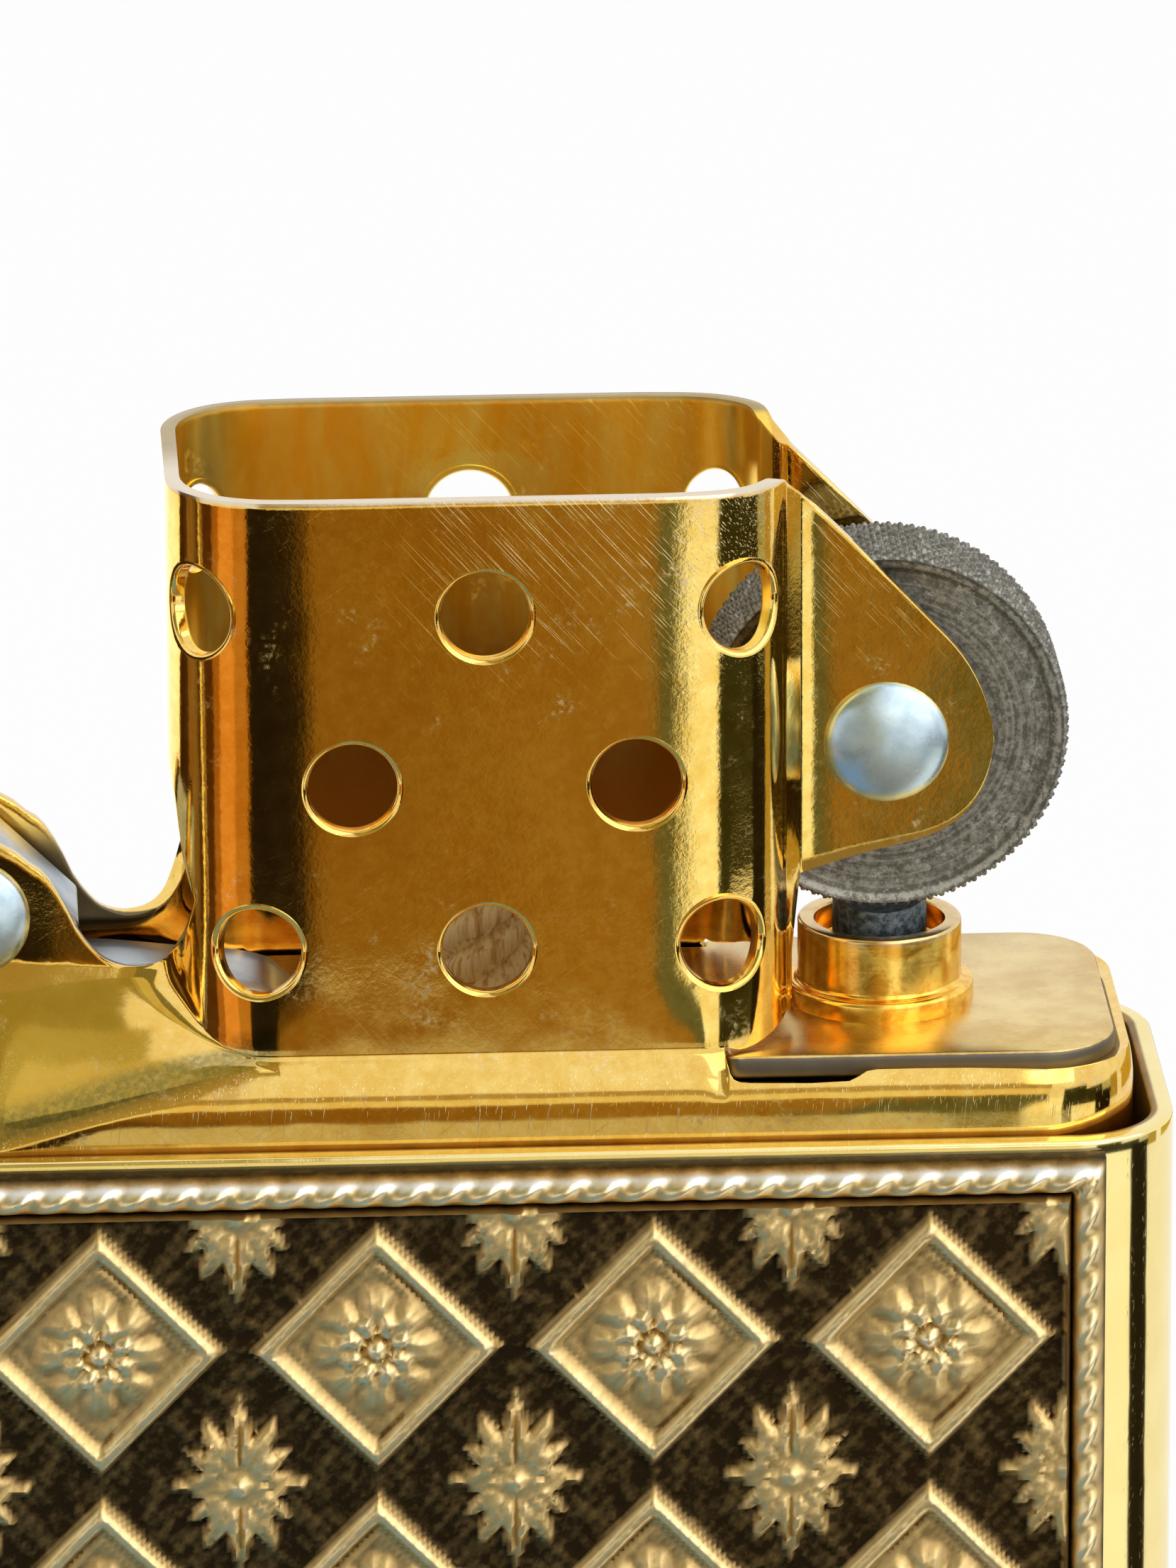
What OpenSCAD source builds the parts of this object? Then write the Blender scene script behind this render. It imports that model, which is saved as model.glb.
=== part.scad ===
// Windproof pocket lighter, standing open on its flat base.
// Origin at the centre of the base, +Z up, +X towards the striker wheel, -Y towards the viewer.

/* [Case] */
// Width of the case across its front
case_w = 38; // [37.6:0.1:39.4]
// Depth of the case, front to back
case_d = 13; // [12.8:0.1:14]
// Height of the case bottom, base to split line
case_h = 37; // [35:0.5:40]
// Height of the lid
lid_h = 20.2; // [19.8:0.1:22]
// Sheet thickness of case and lid
wall_t = 0.65; // [0.45:0.05:0.75]
// Thickness of the case floor
floor_t = 0.8; // [0.6:0.1:1.2]
// Plan radius of the upright edges
edge_r = 3; // [2.6:0.1:3.4]
// Size of the broken edge round the base and round the lid's top
edge_break = 1.2; // [1:0.1:1.4]
// Gap between case bottom and closed lid
split_gap = 0.15; // [0.1:0.05:0.3]

/* [Hinge] */
// Gap between the ends of the hinge leaves and the rounding of the wall
hinge_side = 0.2; // [0.1:0.05:0.6]
// Radius of the hinge barrel
barrel_r = 0.95; // [0.8:0.05:1]
// How far the hinge axis lies outside the case wall
hinge_out = 0.3; // [0.2:0.05:0.4]
// Radius of the hinge pin
pin_r = 0.45; // [0.35:0.05:0.55]
// Gap between two knuckles
knuckle_gap = 0.15; // [0.1:0.05:0.25]
// Gap between the barrel and the notch in the walls
notch_gap = 0.2; // [0.15:0.05:0.3]
// Thickness of the hinge leaves
leaf_t = 0.4; // [0.3:0.05:0.4]
// Height of each hinge leaf
leaf_h = 6.5; // [5:0.5:8]
// Angle at which the open lid rests
open_angle = 120; // [100:1:130]

// Height of the stop's lip above the split line
stop_z0 = 2.65; // [2.5:0.05:2.8]
// Height of the stop
stop_h = 5; // [4:0.5:6]
// Reach of the stop's lip
stop_reach = 1.3; // [0.8:0.1:1.3]
// Width of the stop
stop_w = 3.2; // [2.4:0.1:3.4]

/* [Relief plates] */
// Strip of bare case left at each side of a relief plate
plate_side = 2.2; // [2:0.1:5]
// Thickness of the plates' ground
plate_t = 0.7; // [0.5:0.05:1]
// Height of the relief above the ground
relief_t = 0.6; // [0.3:0.05:0.8]
// Margin from the split line to each plate
plate_margin = 0.3; // [0.2:0.05:0.8]
// Margin from the base, and from the lid's top, to each plate
plate_end = 2; // [1.5:0.1:3]
// Width of the raised border
border_w = 1.1; // [0.6:0.1:1.6]
// Target side of one relief lozenge
lozenge = 7.8; // [4.5:0.1:10]

/* [Insert] */
// Gap between the insert and the hinge leaves
leaf_gap = 0.15; // [0.1:0.05:0.3]
// Gap between the insert and the case at the wheel end
end_gap = 0.45; // [0.4:0.05:0.8]
// Gap between the insert and the case at front and back
side_gap = 0.1; // [0.08:0.01:0.25]
// How much smaller the insert's plan radius is than the case's
round_less = 0.3; // [0.2:0.05:0.8]
// Sheet thickness of the insert
ins_t = 0.5; // [0.4:0.05:0.6]
// Height of the deck above the case bottom's rim
deck_up = 2.2; // [2:0.05:2.6]
// Thickness of the deck plate
deck_t = 0.55; // [0.4:0.05:0.7]
// How far the sheet draws in above the shoulder
shoulder_in = 0.25; // [0.15:0.05:0.3]
// Height of the drawn-in shoulder
shoulder_h = 0.6; // [0.4:0.05:0.8]
// Side gap round the deck plate and the felt
seat_gap = 0.05; // [0.03:0.01:0.1]

/* [Chimney] */
// Height of the chimney above the deck
chim_h = 16.7; // [15.5:0.1:16.9]
// How far the chimney's front lies behind the insert's front
chim_step = 0.55; // [0.5:0.05:0.8]
// Distance from the cam axis to the chimney
cam_to_chim = 5.7; // [5.4:0.1:6]
// Distance from the chimney to the wheel axis
chim_to_wheel = 2.85; // [2.7:0.05:3.2]
// Plan radius at the left end
chim_r0 = 3; // [2.4:0.1:3.4]
// Plan radius at the right end
chim_r1 = 2.6; // [2.2:0.1:2.6]
// Radius of the vent holes
vent_r = 1.27; // [1:0.01:1.4]
// Shift of the middle vent column from the chimney's middle
vent_off = 0.13; // [0:0.01:0.4]
// Half distance of the two vents in the middle row
vent_half = 4; // [3.6:0.1:4.2]
// Shift of the middle row
vent_shift = 0.24; // [0:0.01:0.4]
// Height of the top row above the deck
vent_top = 13.3; // [13:0.05:14]
// Height of the middle row above the deck
vent_mid = 8.3; // [7.8:0.05:9]
// Height of the bottom row above the deck
vent_low = 3.45; // [3.2:0.05:4]
// Turn of the top left vent round the corner
vent_turn_a = 50; // [40:1:55]
// Turn of the bottom left vent round the corner
vent_turn_b = 12; // [5:1:25]
// Turn of the top right vent round the corner
vent_turn_c = 31; // [20:1:38]
// Turn of the bottom right vent round the corner
vent_turn_d = 16; // [8:1:30]

/* [Wheel and its ears] */
// Half the distance between the ears' outer faces
ear_y = 2.6; // [2.5:0.05:2.8]
// Distance from the wheel axis to the insert's end
wheel_in = 7.05; // [6.9:0.05:7.4]
// Wheel axis, height above the deck
wheel_up = 8.55; // [8.4:0.05:8.9]
// Outer radius of the striker wheel
wheel_r = 5.3; // [4.9:0.05:5.35]
// Width of the striker wheel
wheel_w = 3.4; // [3:0.1:3.5]
// Depth of the striking teeth
tooth_h = 0.18; // [0.1:0.01:0.25]
// Number of striking teeth
teeth = 54; // [40:1:64]
// Radius of the wheel's hub
hub_r = 1.95; // [1.6:0.05:2.2]
// Running gap between the hub's end and an ear
hub_gap = 0.15; // [0.1:0.01:0.2]
// Radius of the wheel rivet's shaft
wheel_pin_r = 1; // [0.8:0.05:1.2]
// Radius of the wheel rivet's heads
wheel_head_r = 1.78; // [1.6:0.01:1.9]
// Radius of the rounded end of the wheel ears
ear_r = 3.05; // [2.8:0.05:3.2]
// Height of the ears' slanted edge above the wheel axis, where it meets the round end
ear_rise = 2.75; // [2.6:0.05:2.9]
// Distance along the width from the wheel axis to that point
ear_run = 2; // [1.8:0.05:2.2]
// Depth of the ears' lower edge below the wheel axis
ear_low = 3.95; // [3.6:0.05:4.2]
// Width of the level top of the ears beside the chimney
ear_ledge = 0.4; // [0.3:0.05:0.6]
// Height of the short steep edge below that level top
ear_nose = 0.7; // [0.5:0.05:1]

/* [Cam] */
// Distance from the insert's end to the cam axis
cam_in = 2.6; // [2.5:0.05:2.8]
// Cam axis, height above the deck
cam_up = 3.8; // [3.7:0.05:4]
// Width of the cam
cam_w = 3.4; // [3:0.1:3.6]
// Radius of the cam's round back
cam_r = 1.9; // [1.7:0.05:2]
// Radius of the cam rivet's shaft
cam_pin_r = 0.8; // [0.7:0.05:0.9]
// Radius of the cam rivet's heads
cam_head_r = 1.72; // [1.5:0.01:1.8]
// Radius of the rounded top of the cam ears
cam_ear_r = 2.3; // [2.1:0.05:2.35]
// Radius of the scallop beside the cam ears
scallop_r = 1.5; // [1.2:0.05:1.6]
// Distance from the cam axis to the scallop's near end
cam_ear_run = 3.4; // [3.2:0.05:3.6]
// Height of the sheet between scallop and slope
cam_ear_foot = 0.55; // [0.4:0.05:0.8]
// Start of the sloping sheet above the case bottom's rim
slope_start = 0.3; // [0.2:0.05:0.5]
// Top of the sloping sheet above the deck
slope_up = 2.1; // [1.8:0.05:2.3]
// How far the sloping sheet runs past the chimney's end
slope_past = 1.5; // [1.1:0.1:2]
// Height of the slot between cam well and chimney
slot_up = 4.4; // [3.5:0.1:5]
// Length of the cam's toe, from its axis
toe_l = 3.15; // [3:0.05:3.3]
// Depth of the cam's toe below its axis
toe_low = 1.85; // [1.7:0.05:1.95]
// Reach of the cam's heel towards the hinge
heel_l = 2.25; // [2:0.05:2.3]
// Gap between the cam's toe and its spring
toe_gap = 0.2; // [0.15:0.01:0.3]
// Thickness of the cam spring
spring_leaf_t = 0.25; // [0.2:0.01:0.3]
// Width of the cam spring
spring_leaf_w = 3.4; // [2.8:0.1:3.6]
// Fall of the cam spring from one bend to the next
leaf_fall = 0.25; // [0.2:0.01:0.35]
// Gap between the cam spring's foot and the wick
foot_gap = 0.9; // [0.7:0.1:1.3]
// Radius of that rivet's shaft
foot_pin_r = 0.5; // [0.4:0.05:0.6]
// Radius of that rivet's head
foot_head_r = 0.95; // [0.8:0.05:1.1]
// Half length of the cam spring's flat foot
foot_l = 1.35; // [1.1:0.05:1.45]
// Thickness of a rivet's head
head_t = 0.45; // [0.3:0.05:0.55]
// Radial running gap of wheel, cam and hinge on their pins
run_gap = 0.05; // [0.03:0.01:0.08]
// Radial gap of a pin where it is riveted fast
fast_gap = 0.02; // [0.01:0.01:0.03]

/* [Flint tube] */
// Outer radius of the flint tube
tube_r = 2.35; // [2.2:0.05:2.4]
// Bore radius of the flint tube
tube_bore = 1.4; // [1.3:0.05:1.5]
// Bore radius at the tube's mouth
mouth_r = 1.75; // [1.6:0.05:1.9]
// Depth of the widened mouth
mouth_h = 0.8; // [0.5:0.1:1.2]
// Height of the tube above the deck
tube_up = 2.5; // [2.2:0.1:2.7]
// Radius of the ring at the tube's foot
ring_r = 2.7; // [2.6:0.05:2.8]
// Height of the ring at the tube's foot
ring_h = 0.72; // [0.5:0.01:1]
// Length of the flint
flint_l = 4.2; // [3:0.1:6]
// Gap between wheel and flint
flint_gap = 0.25; // [0.2:0.05:0.3]
// Length of the pusher's head
pusher_l = 2; // [1.5:0.1:3]
// Radius of the spigot that centres the spring
spigot_r = 0.55; // [0.4:0.05:0.6]
// Length of the spigots at both ends of the spring
spigot_l = 1.4; // [1:0.1:2]
// Outer radius of the flint spring
coil_r = 1.22; // [1.15:0.01:1.25]
// Wire thickness of the flint spring
wire_t = 0.4; // [0.3:0.02:0.42]
// Gap between the spring and the pieces it pushes on
spring_gap = 0.1; // [0.05:0.05:0.2]
// Number of turns of the flint spring
coil_turns = 20; // [14:1:24]
// Radius of the flint screw's slotted head
screw_head_r = 2.6; // [2.4:0.1:2.8]
// Thickness of the flint screw's head
screw_head_t = 1; // [0.8:0.1:1.2]
// Length of the flint screw's threaded shank
screw_l = 5; // [4:0.5:7]
// Room under the screw's head, above the case floor
screw_room = 1.2; // [1.1:0.1:1.5]
// Width of the screwdriver slot
slot_w = 0.7; // [0.5:0.1:0.9]

/* [Soft pieces] */
// Radius of the wick
wick_r = 1.55; // [1.3:0.05:1.7]
// Shift of the wick from the chimney's middle
wick_off = 0.25; // [0:0.05:0.5]
// Gap between the felt and the wick's lower end
wick_start = 4; // [1:0.5:8]
// Height of the wick above the deck
wick_up = 6.5; // [5:0.1:9]
// Thickness of the felt pad
felt_t = 2.2; // [1.8:0.1:3]
// Number of wadding blocks
wad_count = 4; // [3:1:5]
// Gap round the wadding blocks
wad_gap = 0.3; // [0.2:0.05:0.5]
// Depth of the wadding's top below the case bottom's rim
wad_top = 1.5; // [1.3:0.1:3]

/* [Hidden] */
$fn = 48;
eps = 0.01;

// Heights and places that follow from the sizes above
split_z = case_h + split_gap / 2;
hinge_x = -case_w / 2 - hinge_out;
hinge_l = case_d - 2 * (edge_r + hinge_side);
lid_z0 = case_h + split_gap;
lid_z1 = lid_z0 + lid_h;
ins_x0 = -case_w / 2 + wall_t + leaf_t + leaf_gap;
ins_x1 = case_w / 2 - wall_t - end_gap;
ins_w = ins_x1 - ins_x0;
ins_d = case_d - 2 * (wall_t + side_gap);
ins_x = (ins_x0 + ins_x1) / 2;
ins_r = edge_r - round_less;
plate_w = case_w - 2 * plate_side;
cam_x = ins_x0 + cam_in;
wheel_x = ins_x1 - wheel_in;
chim_x0 = cam_x + cam_to_chim;
chim_x1 = wheel_x - chim_to_wheel;
chim_d = ins_d - 2 * chim_step;
vent_x = (chim_x0 + chim_x1) / 2 + vent_off;
wick_x = (chim_x0 + chim_x1) / 2 + wick_off;
foot_x = wick_x - wick_r - foot_gap - foot_l;
deck_z = case_h + deck_up;
deck_z0 = deck_z - deck_t;
chim_top = deck_z + chim_h;
wheel_z = deck_z + wheel_up;
cam_z = deck_z + cam_up;
ear_in = ear_y - ins_t;
tube_top = deck_z + tube_up;
screw_z0 = floor_t + screw_room;
tube_z0 = screw_z0 + screw_head_t + run_gap;
flint_z1 = wheel_z - wheel_r - flint_gap;
flint_z0 = flint_z1 - flint_l;
pusher_z0 = flint_z0 - pusher_l;
shank_z1 = tube_z0 + screw_l;
coil_z0 = shank_z1 + spring_gap;
coil_z1 = pusher_z0 - spring_gap;

// Angles at which the round ends of the ears start and stop
ear_arc_top = 38;
ear_arc_low = -67;
cam_arc_end = 28;

// Top of the insert's hollow at the cam end, where the sloping sheet starts
body_top = case_h - wad_top / 2;

// The sloping sheet between the case rim and the cam ears
slope_z0 = case_h + slope_start;
slope_z1 = deck_z + slope_up;
slope_x1 = chim_x0 + slope_past;
slope_run = ins_d / 2 - ear_y;
slope_rise = slope_z1 - slope_z0;
slope_drop = ins_t * (sqrt(pow(slope_run, 2) + pow(slope_rise, 2)) - slope_rise) / slope_run;

// Notch in the walls round the hinge barrel
notch_l = hinge_l + 2 * notch_gap;
notch_h = barrel_r + notch_gap;
knuckles = 5;
knuckle_l = (hinge_l - (knuckles - 1) * knuckle_gap) / knuckles;

// Points on an arc, from angle a0 to angle a1
function arc(cx, cy, r, a0, a1, n) =
    [for (i = [0:n]) [cx + r * cos(a0 + (a1 - a0) * i / n), cy + r * sin(a0 + (a1 - a0) * i / n)]];

// A rectangle with round corners, about its centre
module round_rect(w, d, r) {
    square([w - 2 * r, d], center = true);
    square([w, d - 2 * r], center = true);
    for (sx = [-1, 1], sy = [-1, 1])
        translate([sx * (w / 2 - r), sy * (d / 2 - r)])
            circle(r);
}

// Stands a drawing of X and Z upright, centred on Y and as wide as w
module upright(w) {
    rotate([90, 0, 0])
        linear_extrude(w, center = true)
            children();
}

// Turns the closed lid's pieces to where the open lid rests
module opened() {
    translate([hinge_x, 0, split_z])
        rotate([0, -open_angle, 0])
            translate([-hinge_x, 0, -split_z])
                children();
}

// A cap that opens upwards from z = 0, with its bottom edge broken
module cap_block(h) {
    b = edge_break;
    intersection() {
        linear_extrude(h)
            round_rect(case_w, case_d, edge_r);
        upright(case_d + 2)
            polygon([[-case_w / 2 + b, 0], [case_w / 2 - b, 0], [case_w / 2 - b * 0.3, b * 0.3],
                [case_w / 2 + 1, b + 1 + b * 0.3], [case_w / 2 + 1, h + 1], [-case_w / 2 - 1, h + 1],
                [-case_w / 2 - 1, b + 1 + b * 0.3], [-case_w / 2 + b * 0.3, b * 0.3]]);
        rotate([90, 0, 90])
            linear_extrude(case_w + 2, center = true)
                polygon([[-case_d / 2 + b, 0], [case_d / 2 - b, 0], [case_d / 2 - b * 0.3, b * 0.3],
                    [case_d / 2 + 1, b + 1 + b * 0.3], [case_d / 2 + 1, h + 1], [-case_d / 2 - 1, h + 1],
                    [-case_d / 2 - 1, b + 1 + b * 0.3], [-case_d / 2 + b * 0.3, b * 0.3]]);
    }
}

// The cap hollowed to sheet, with the barrel's notch in its open rim
module cap(h, end_t) {
    difference() {
        cap_block(h);
        translate([0, 0, end_t])
            linear_extrude(h)
                round_rect(case_w - 2 * wall_t, case_d - 2 * wall_t, edge_r - wall_t);
        translate([-case_w / 2 - 1, -notch_l / 2, h - notch_h])
            cube([wall_t + 1 + eps, notch_l, notch_h + 1]);
    }
}

module case_bottom() {
    color("goldenrod")
        cap(case_h, floor_t);
}

module case_lid() {
    color("goldenrod")
        opened()
            translate([0, 0, lid_z1])
                mirror([0, 0, 1])
                    cap(lid_h, wall_t);
}

// Knuckles number first, first + 2 and so on, each joined to its leaf by a web
module hinge_leaf(first, bore) {
    inner = hinge_out + wall_t;
    for (i = [first:2:knuckles - 1])
        translate([0, -hinge_l / 2 + knuckle_l / 2 + i * (knuckle_l + knuckle_gap), 0])
            difference() {
                upright(knuckle_l)
                    union() {
                        circle(barrel_r);
                        polygon([[barrel_r * 0.16, barrel_r * 0.9], [barrel_r * 0.65, barrel_r * 0.16],
                            [inner + leaf_t, barrel_r * 0.95], [inner + leaf_t, notch_h + leaf_t],
                            [inner, notch_h + leaf_t], [inner, notch_h]]);
                    }
                upright(knuckle_l + 1)
                    circle(bore);
            }
    translate([inner, -hinge_l / 2, notch_h])
        cube([leaf_t, hinge_l, leaf_h]);
}

module hinge_leaf_case() {
    color("gold")
        translate([hinge_x, 0, split_z])
            mirror([0, 0, 1])
                hinge_leaf(0, pin_r + fast_gap);
}

module hinge_leaf_lid() {
    color("gold")
        opened()
            translate([hinge_x, 0, split_z])
                hinge_leaf(1, pin_r + run_gap);
}

module hinge_pin() {
    color("silver")
        translate([hinge_x, 0, split_z])
            upright(hinge_l)
                circle(pin_r);
}

// A bronze plate with a raised border and a lattice of raised lozenges, lying on Y = 0
module relief_plate(z0, z1) {
    h = z1 - z0;
    inner_w = plate_w - 2 * border_w;
    inner_h = h - 2 * border_w;
    cols = max(2, round(inner_w / lozenge));
    rows = max(2, round(inner_h / lozenge));
    sx = inner_w / cols;
    sz = inner_h / rows;
    translate([0, -plate_t, z0 + h / 2])
        rotate([90, 0, 0]) {
            translate([0, 0, -plate_t])
                linear_extrude(plate_t)
                    square([plate_w, h], center = true);
            linear_extrude(relief_t)
                difference() {
                    square([plate_w, h], center = true);
                    square([inner_w, inner_h], center = true);
                }
            for (i = [0:cols - 1], j = [0:rows - 1])
                translate([(i + 0.5) * sx - inner_w / 2, (j + 0.5) * sz - inner_h / 2, 0])
                    linear_extrude(relief_t * 0.7)
                        polygon([[-sx * 0.4, 0], [0, -sz * 0.4], [sx * 0.4, 0], [0, sz * 0.4]]);
        }
}

module case_relief_plate() {
    color("darkgoldenrod")
        translate([0, -case_d / 2, 0])
            relief_plate(plate_end, case_h - plate_margin);
}

module lid_relief_plate() {
    color("darkgoldenrod")
        opened()
            translate([0, -case_d / 2, 0])
                relief_plate(lid_z0 + plate_margin, lid_z1 - plate_end);
}

// The stop sits on the lid's hinge leaf, and its lip reaches over the cam
module lid_stop() {
    color("silver")
        opened()
            translate([hinge_x + hinge_out + wall_t + leaf_t, 0, split_z + stop_z0])
                upright(stop_w)
                    polygon([[0, 0], [stop_reach, 0], [stop_reach, leaf_t], [leaf_t, leaf_t],
                        [leaf_t, stop_h], [0, stop_h]]);
}

// The chimney's outline in plan, drawn in by d
module chimney_plan(d) {
    h = chim_d / 2 - d;
    x0 = chim_x0 + d;
    x1 = chim_x1 - d;
    r0 = chim_r0 - d;
    r1 = chim_r1 - d;
    translate([x0 + r0, -h])
        square([x1 - r1 - x0 - r0, 2 * h]);
    translate([x0, -h + r0])
        square([x1 - r1 - x0, 2 * (h - r0)]);
    translate([x0 + r0, -h + r1])
        square([x1 - x0 - r0, 2 * (h - r1)]);
    for (s = [-1, 1]) {
        translate([x0 + r0, s * (h - r0)])
            circle(r0);
        translate([x1 - r1, s * (h - r1)])
            circle(r1);
    }
}

// The insert's outline in plan, drawn in by d
module insert_plan(d) {
    translate([ins_x, 0])
        round_rect(ins_w - 2 * d, ins_d - 2 * d, ins_r - d);
}

// Outline of a wheel ear, seen from the front
module wheel_ear_outline() {
    polygon(concat(
        [[chim_x1 - ins_t, chim_top], [chim_x1 - ear_ledge / 2, chim_top],
            [chim_x1 + ear_ledge, chim_top - ear_nose], [wheel_x + ear_run, wheel_z + ear_rise]],
        arc(wheel_x, wheel_z, ear_r, ear_arc_top, ear_arc_low, 16),
        [[chim_x1 + ear_ledge / 2, wheel_z - ear_low], [chim_x1 - ins_t, wheel_z - ear_low]]));
}

// Outline of a cam ear with its scallop, seen from the front
module cam_ear_outline() {
    x0 = cam_x - cam_ear_r;
    x1 = chim_x0 + ins_t;
    foot = slope_z1 + cam_ear_foot;
    difference() {
        polygon(concat(
            [[x0, slope_z1 - ins_t], [x0, cam_z]],
            arc(cam_x, cam_z, cam_ear_r, 180, cam_arc_end, 16),
            [[cam_x + cam_ear_run, foot], [x1, foot], [x1, slope_z1 - ins_t]]));
        translate([(cam_x + cam_ear_run + x1) / 2, slope_z1 + scallop_r])
            circle(scallop_r);
    }
}

// The sheet's outline across the cam end, seen along X; grown = 0 outside, 1 inside
module slope_outline(grown) {
    y0 = ins_d / 2 - grown * ins_t;
    y1 = ear_y - grown * ins_t;
    za = slope_z0 - grown * slope_drop;
    zb = slope_z1 - grown * slope_drop;
    bottom = case_h - wad_top;
    polygon([[-y0, bottom], [-y0, za], [-y1, zb], [-y1, zb + chim_h * grown], [y1, zb + chim_h * grown],
        [y1, zb], [y0, za], [y0, bottom]]);
}

// Places of the vents that lie on the flat front and back
function flat_vents() = [[vent_x, vent_top], [vent_x + vent_shift - vent_half, vent_mid],
    [vent_x + vent_shift + vent_half, vent_mid], [vent_x, vent_low]];

// A vent hole square to the round corner at one end of the chimney
module corner_vent(side, turn, z) {
    r = side < 0 ? chim_r0 : chim_r1;
    x = side < 0 ? chim_x0 + r : chim_x1 - r;
    for (s = [-1, 1])
        translate([x, s * (chim_d / 2 - r), deck_z + z])
            rotate([0, 0, -s * side * turn])
                rotate([s < 0 ? 90 : -90, 0, 0])
                    translate([0, 0, r - 2 * ins_t])
                        cylinder(r = vent_r, h = 3 * ins_t);
}

module insert_shell() {
    color("gold")
        difference() {
            union() {
                // Body up to the split, then with its shoulder on the wheel side
                translate([0, 0, floor_t])
                    linear_extrude(slope_z0 - floor_t)
                        insert_plan(0);
                intersection() {
                    union() {
                        translate([0, 0, slope_z0 - eps])
                            linear_extrude(deck_z - shoulder_h - slope_z0 + eps)
                                insert_plan(0);
                        translate([0, 0, deck_z - shoulder_h - eps])
                            linear_extrude(shoulder_h + eps - 0.05)
                                insert_plan(shoulder_in);
                    }
                    translate([slope_x1, -case_d, 0])
                        cube([case_w, 2 * case_d, 2 * case_h]);
                }
                // Chimney
                translate([0, 0, slope_z0])
                    linear_extrude(chim_top - slope_z0)
                        chimney_plan(0);
                // Sloping sheet at the cam end
                intersection() {
                    linear_extrude(2 * case_h)
                        insert_plan(0);
                    translate([(ins_x0 + slope_x1) / 2, 0, 0])
                        rotate([90, 0, 90])
                            linear_extrude(slope_x1 - ins_x0, center = true)
                                slope_outline(0);
                }
                upright(2 * ear_y)
                    wheel_ear_outline();
                upright(2 * ear_y)
                    cam_ear_outline();
            }
            // Hollow of the body, under the deck
            translate([0, 0, floor_t - 1])
                linear_extrude(deck_z0 - floor_t + 1)
                    intersection() {
                        insert_plan(ins_t);
                        translate([chim_x0 + ins_t, -case_d])
                            square([case_w, 2 * case_d]);
                    }
            translate([0, 0, floor_t - 1])
                linear_extrude(body_top - floor_t + 1)
                    insert_plan(ins_t);
            // Hollow of the cam end, and the slot from it into the chimney
            translate([ins_x0 + ins_t, 0, 0])
                rotate([90, 0, 90])
                    linear_extrude(chim_x0 - ins_x0 - ins_t)
                        slope_outline(1);
            translate([chim_x0 - ins_t, -ear_in, deck_z0])
                cube([3 * ins_t, 2 * ear_in, slot_up + deck_t]);
            // The end wall stays low, under the lid's stop
            translate([ins_x0 - ins_t, -ear_in, slope_z0])
                cube([3 * ins_t, 2 * ear_in, case_h]);
            // Seat of the deck and hollow of the chimney
            translate([0, 0, deck_z0 - eps])
                linear_extrude(deck_t + 5 * eps)
                    deck_plan(0);
            translate([0, 0, deck_z0 - eps])
                linear_extrude(chim_h + 2)
                    chimney_plan(ins_t);
            // Open end of the chimney, between the wheel ears
            translate([chim_x1 - 2 * ins_t, -ear_in, deck_z0 - eps])
                cube([ear_r + 5, 2 * ear_in, chim_h + 2]);
            // Bores of the two rivets
            translate([wheel_x, 0, wheel_z])
                upright(2 * ear_y + 1)
                    circle(wheel_pin_r + fast_gap);
            translate([cam_x, 0, cam_z])
                upright(2 * ear_y + 1)
                    circle(cam_pin_r + fast_gap);
            // Vents
            for (v = flat_vents())
                translate([v[0], 0, deck_z + v[1]])
                    upright(chim_d + 1)
                        circle(vent_r);
            corner_vent(-1, vent_turn_a, vent_top);
            corner_vent(-1, vent_turn_b, vent_low);
            corner_vent(1, vent_turn_c, vent_top);
            corner_vent(1, vent_turn_d, vent_low);
        }
}

// The deck plate in plan, drawn in by g: cam well, chimney floor and wheel end in one
module deck_plan(g) {
    well_y = ear_in + (slope_z1 - slope_drop - deck_z) * slope_run / slope_rise;
    translate([ins_x0 + ins_t + g, -well_y + g])
        square([chim_x0 + 2 * ins_t - ins_x0 - ins_t, 2 * (well_y - g)]);
    chimney_plan(ins_t + g);
    difference() {
        intersection() {
            insert_plan(ins_t + g);
            translate([chim_x1 - chim_r1, -case_d])
                square([case_w, 2 * case_d]);
        }
        difference() {
            chimney_plan(-g);
            chimney_plan(ins_t + g);
            translate([chim_x1 - 2 * ins_t, -ear_in + g])
                square([2, 2 * (ear_in - g)]);
        }
    }
}

module insert_deck() {
    color("gold")
        difference() {
            translate([0, 0, deck_z0])
                linear_extrude(deck_t)
                    deck_plan(seat_gap);
            translate([wheel_x, 0, deck_z0 - 1])
                cylinder(r = tube_r + seat_gap, h = deck_t + 2);
            translate([wick_x, 0, deck_z0 - 1])
                cylinder(r = wick_r + seat_gap, h = deck_t + 2);
            translate([foot_x, 0, deck_z0 - 1])
                cylinder(r = foot_pin_r + fast_gap, h = deck_t + 2);
        }
}

module flint_tube() {
    color("goldenrod")
        translate([wheel_x, 0, 0])
            difference() {
                union() {
                    translate([0, 0, tube_z0])
                        cylinder(r = tube_r, h = tube_top - tube_z0);
                    translate([0, 0, deck_z])
                        cylinder(r = ring_r, h = ring_h);
                }
                translate([0, 0, tube_z0 - 1])
                    cylinder(r = tube_bore, h = tube_top - tube_z0 + 2);
                translate([0, 0, tube_top - mouth_h])
                    cylinder(r = mouth_r, h = mouth_h + 1);
            }
}

// Flint, pusher and screw run in the tube's bore
feed_r = tube_bore - run_gap;
module flint() {
    color("slategray")
        translate([wheel_x, 0, flint_z0])
            cylinder(r = feed_r, h = flint_l);
}

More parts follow.
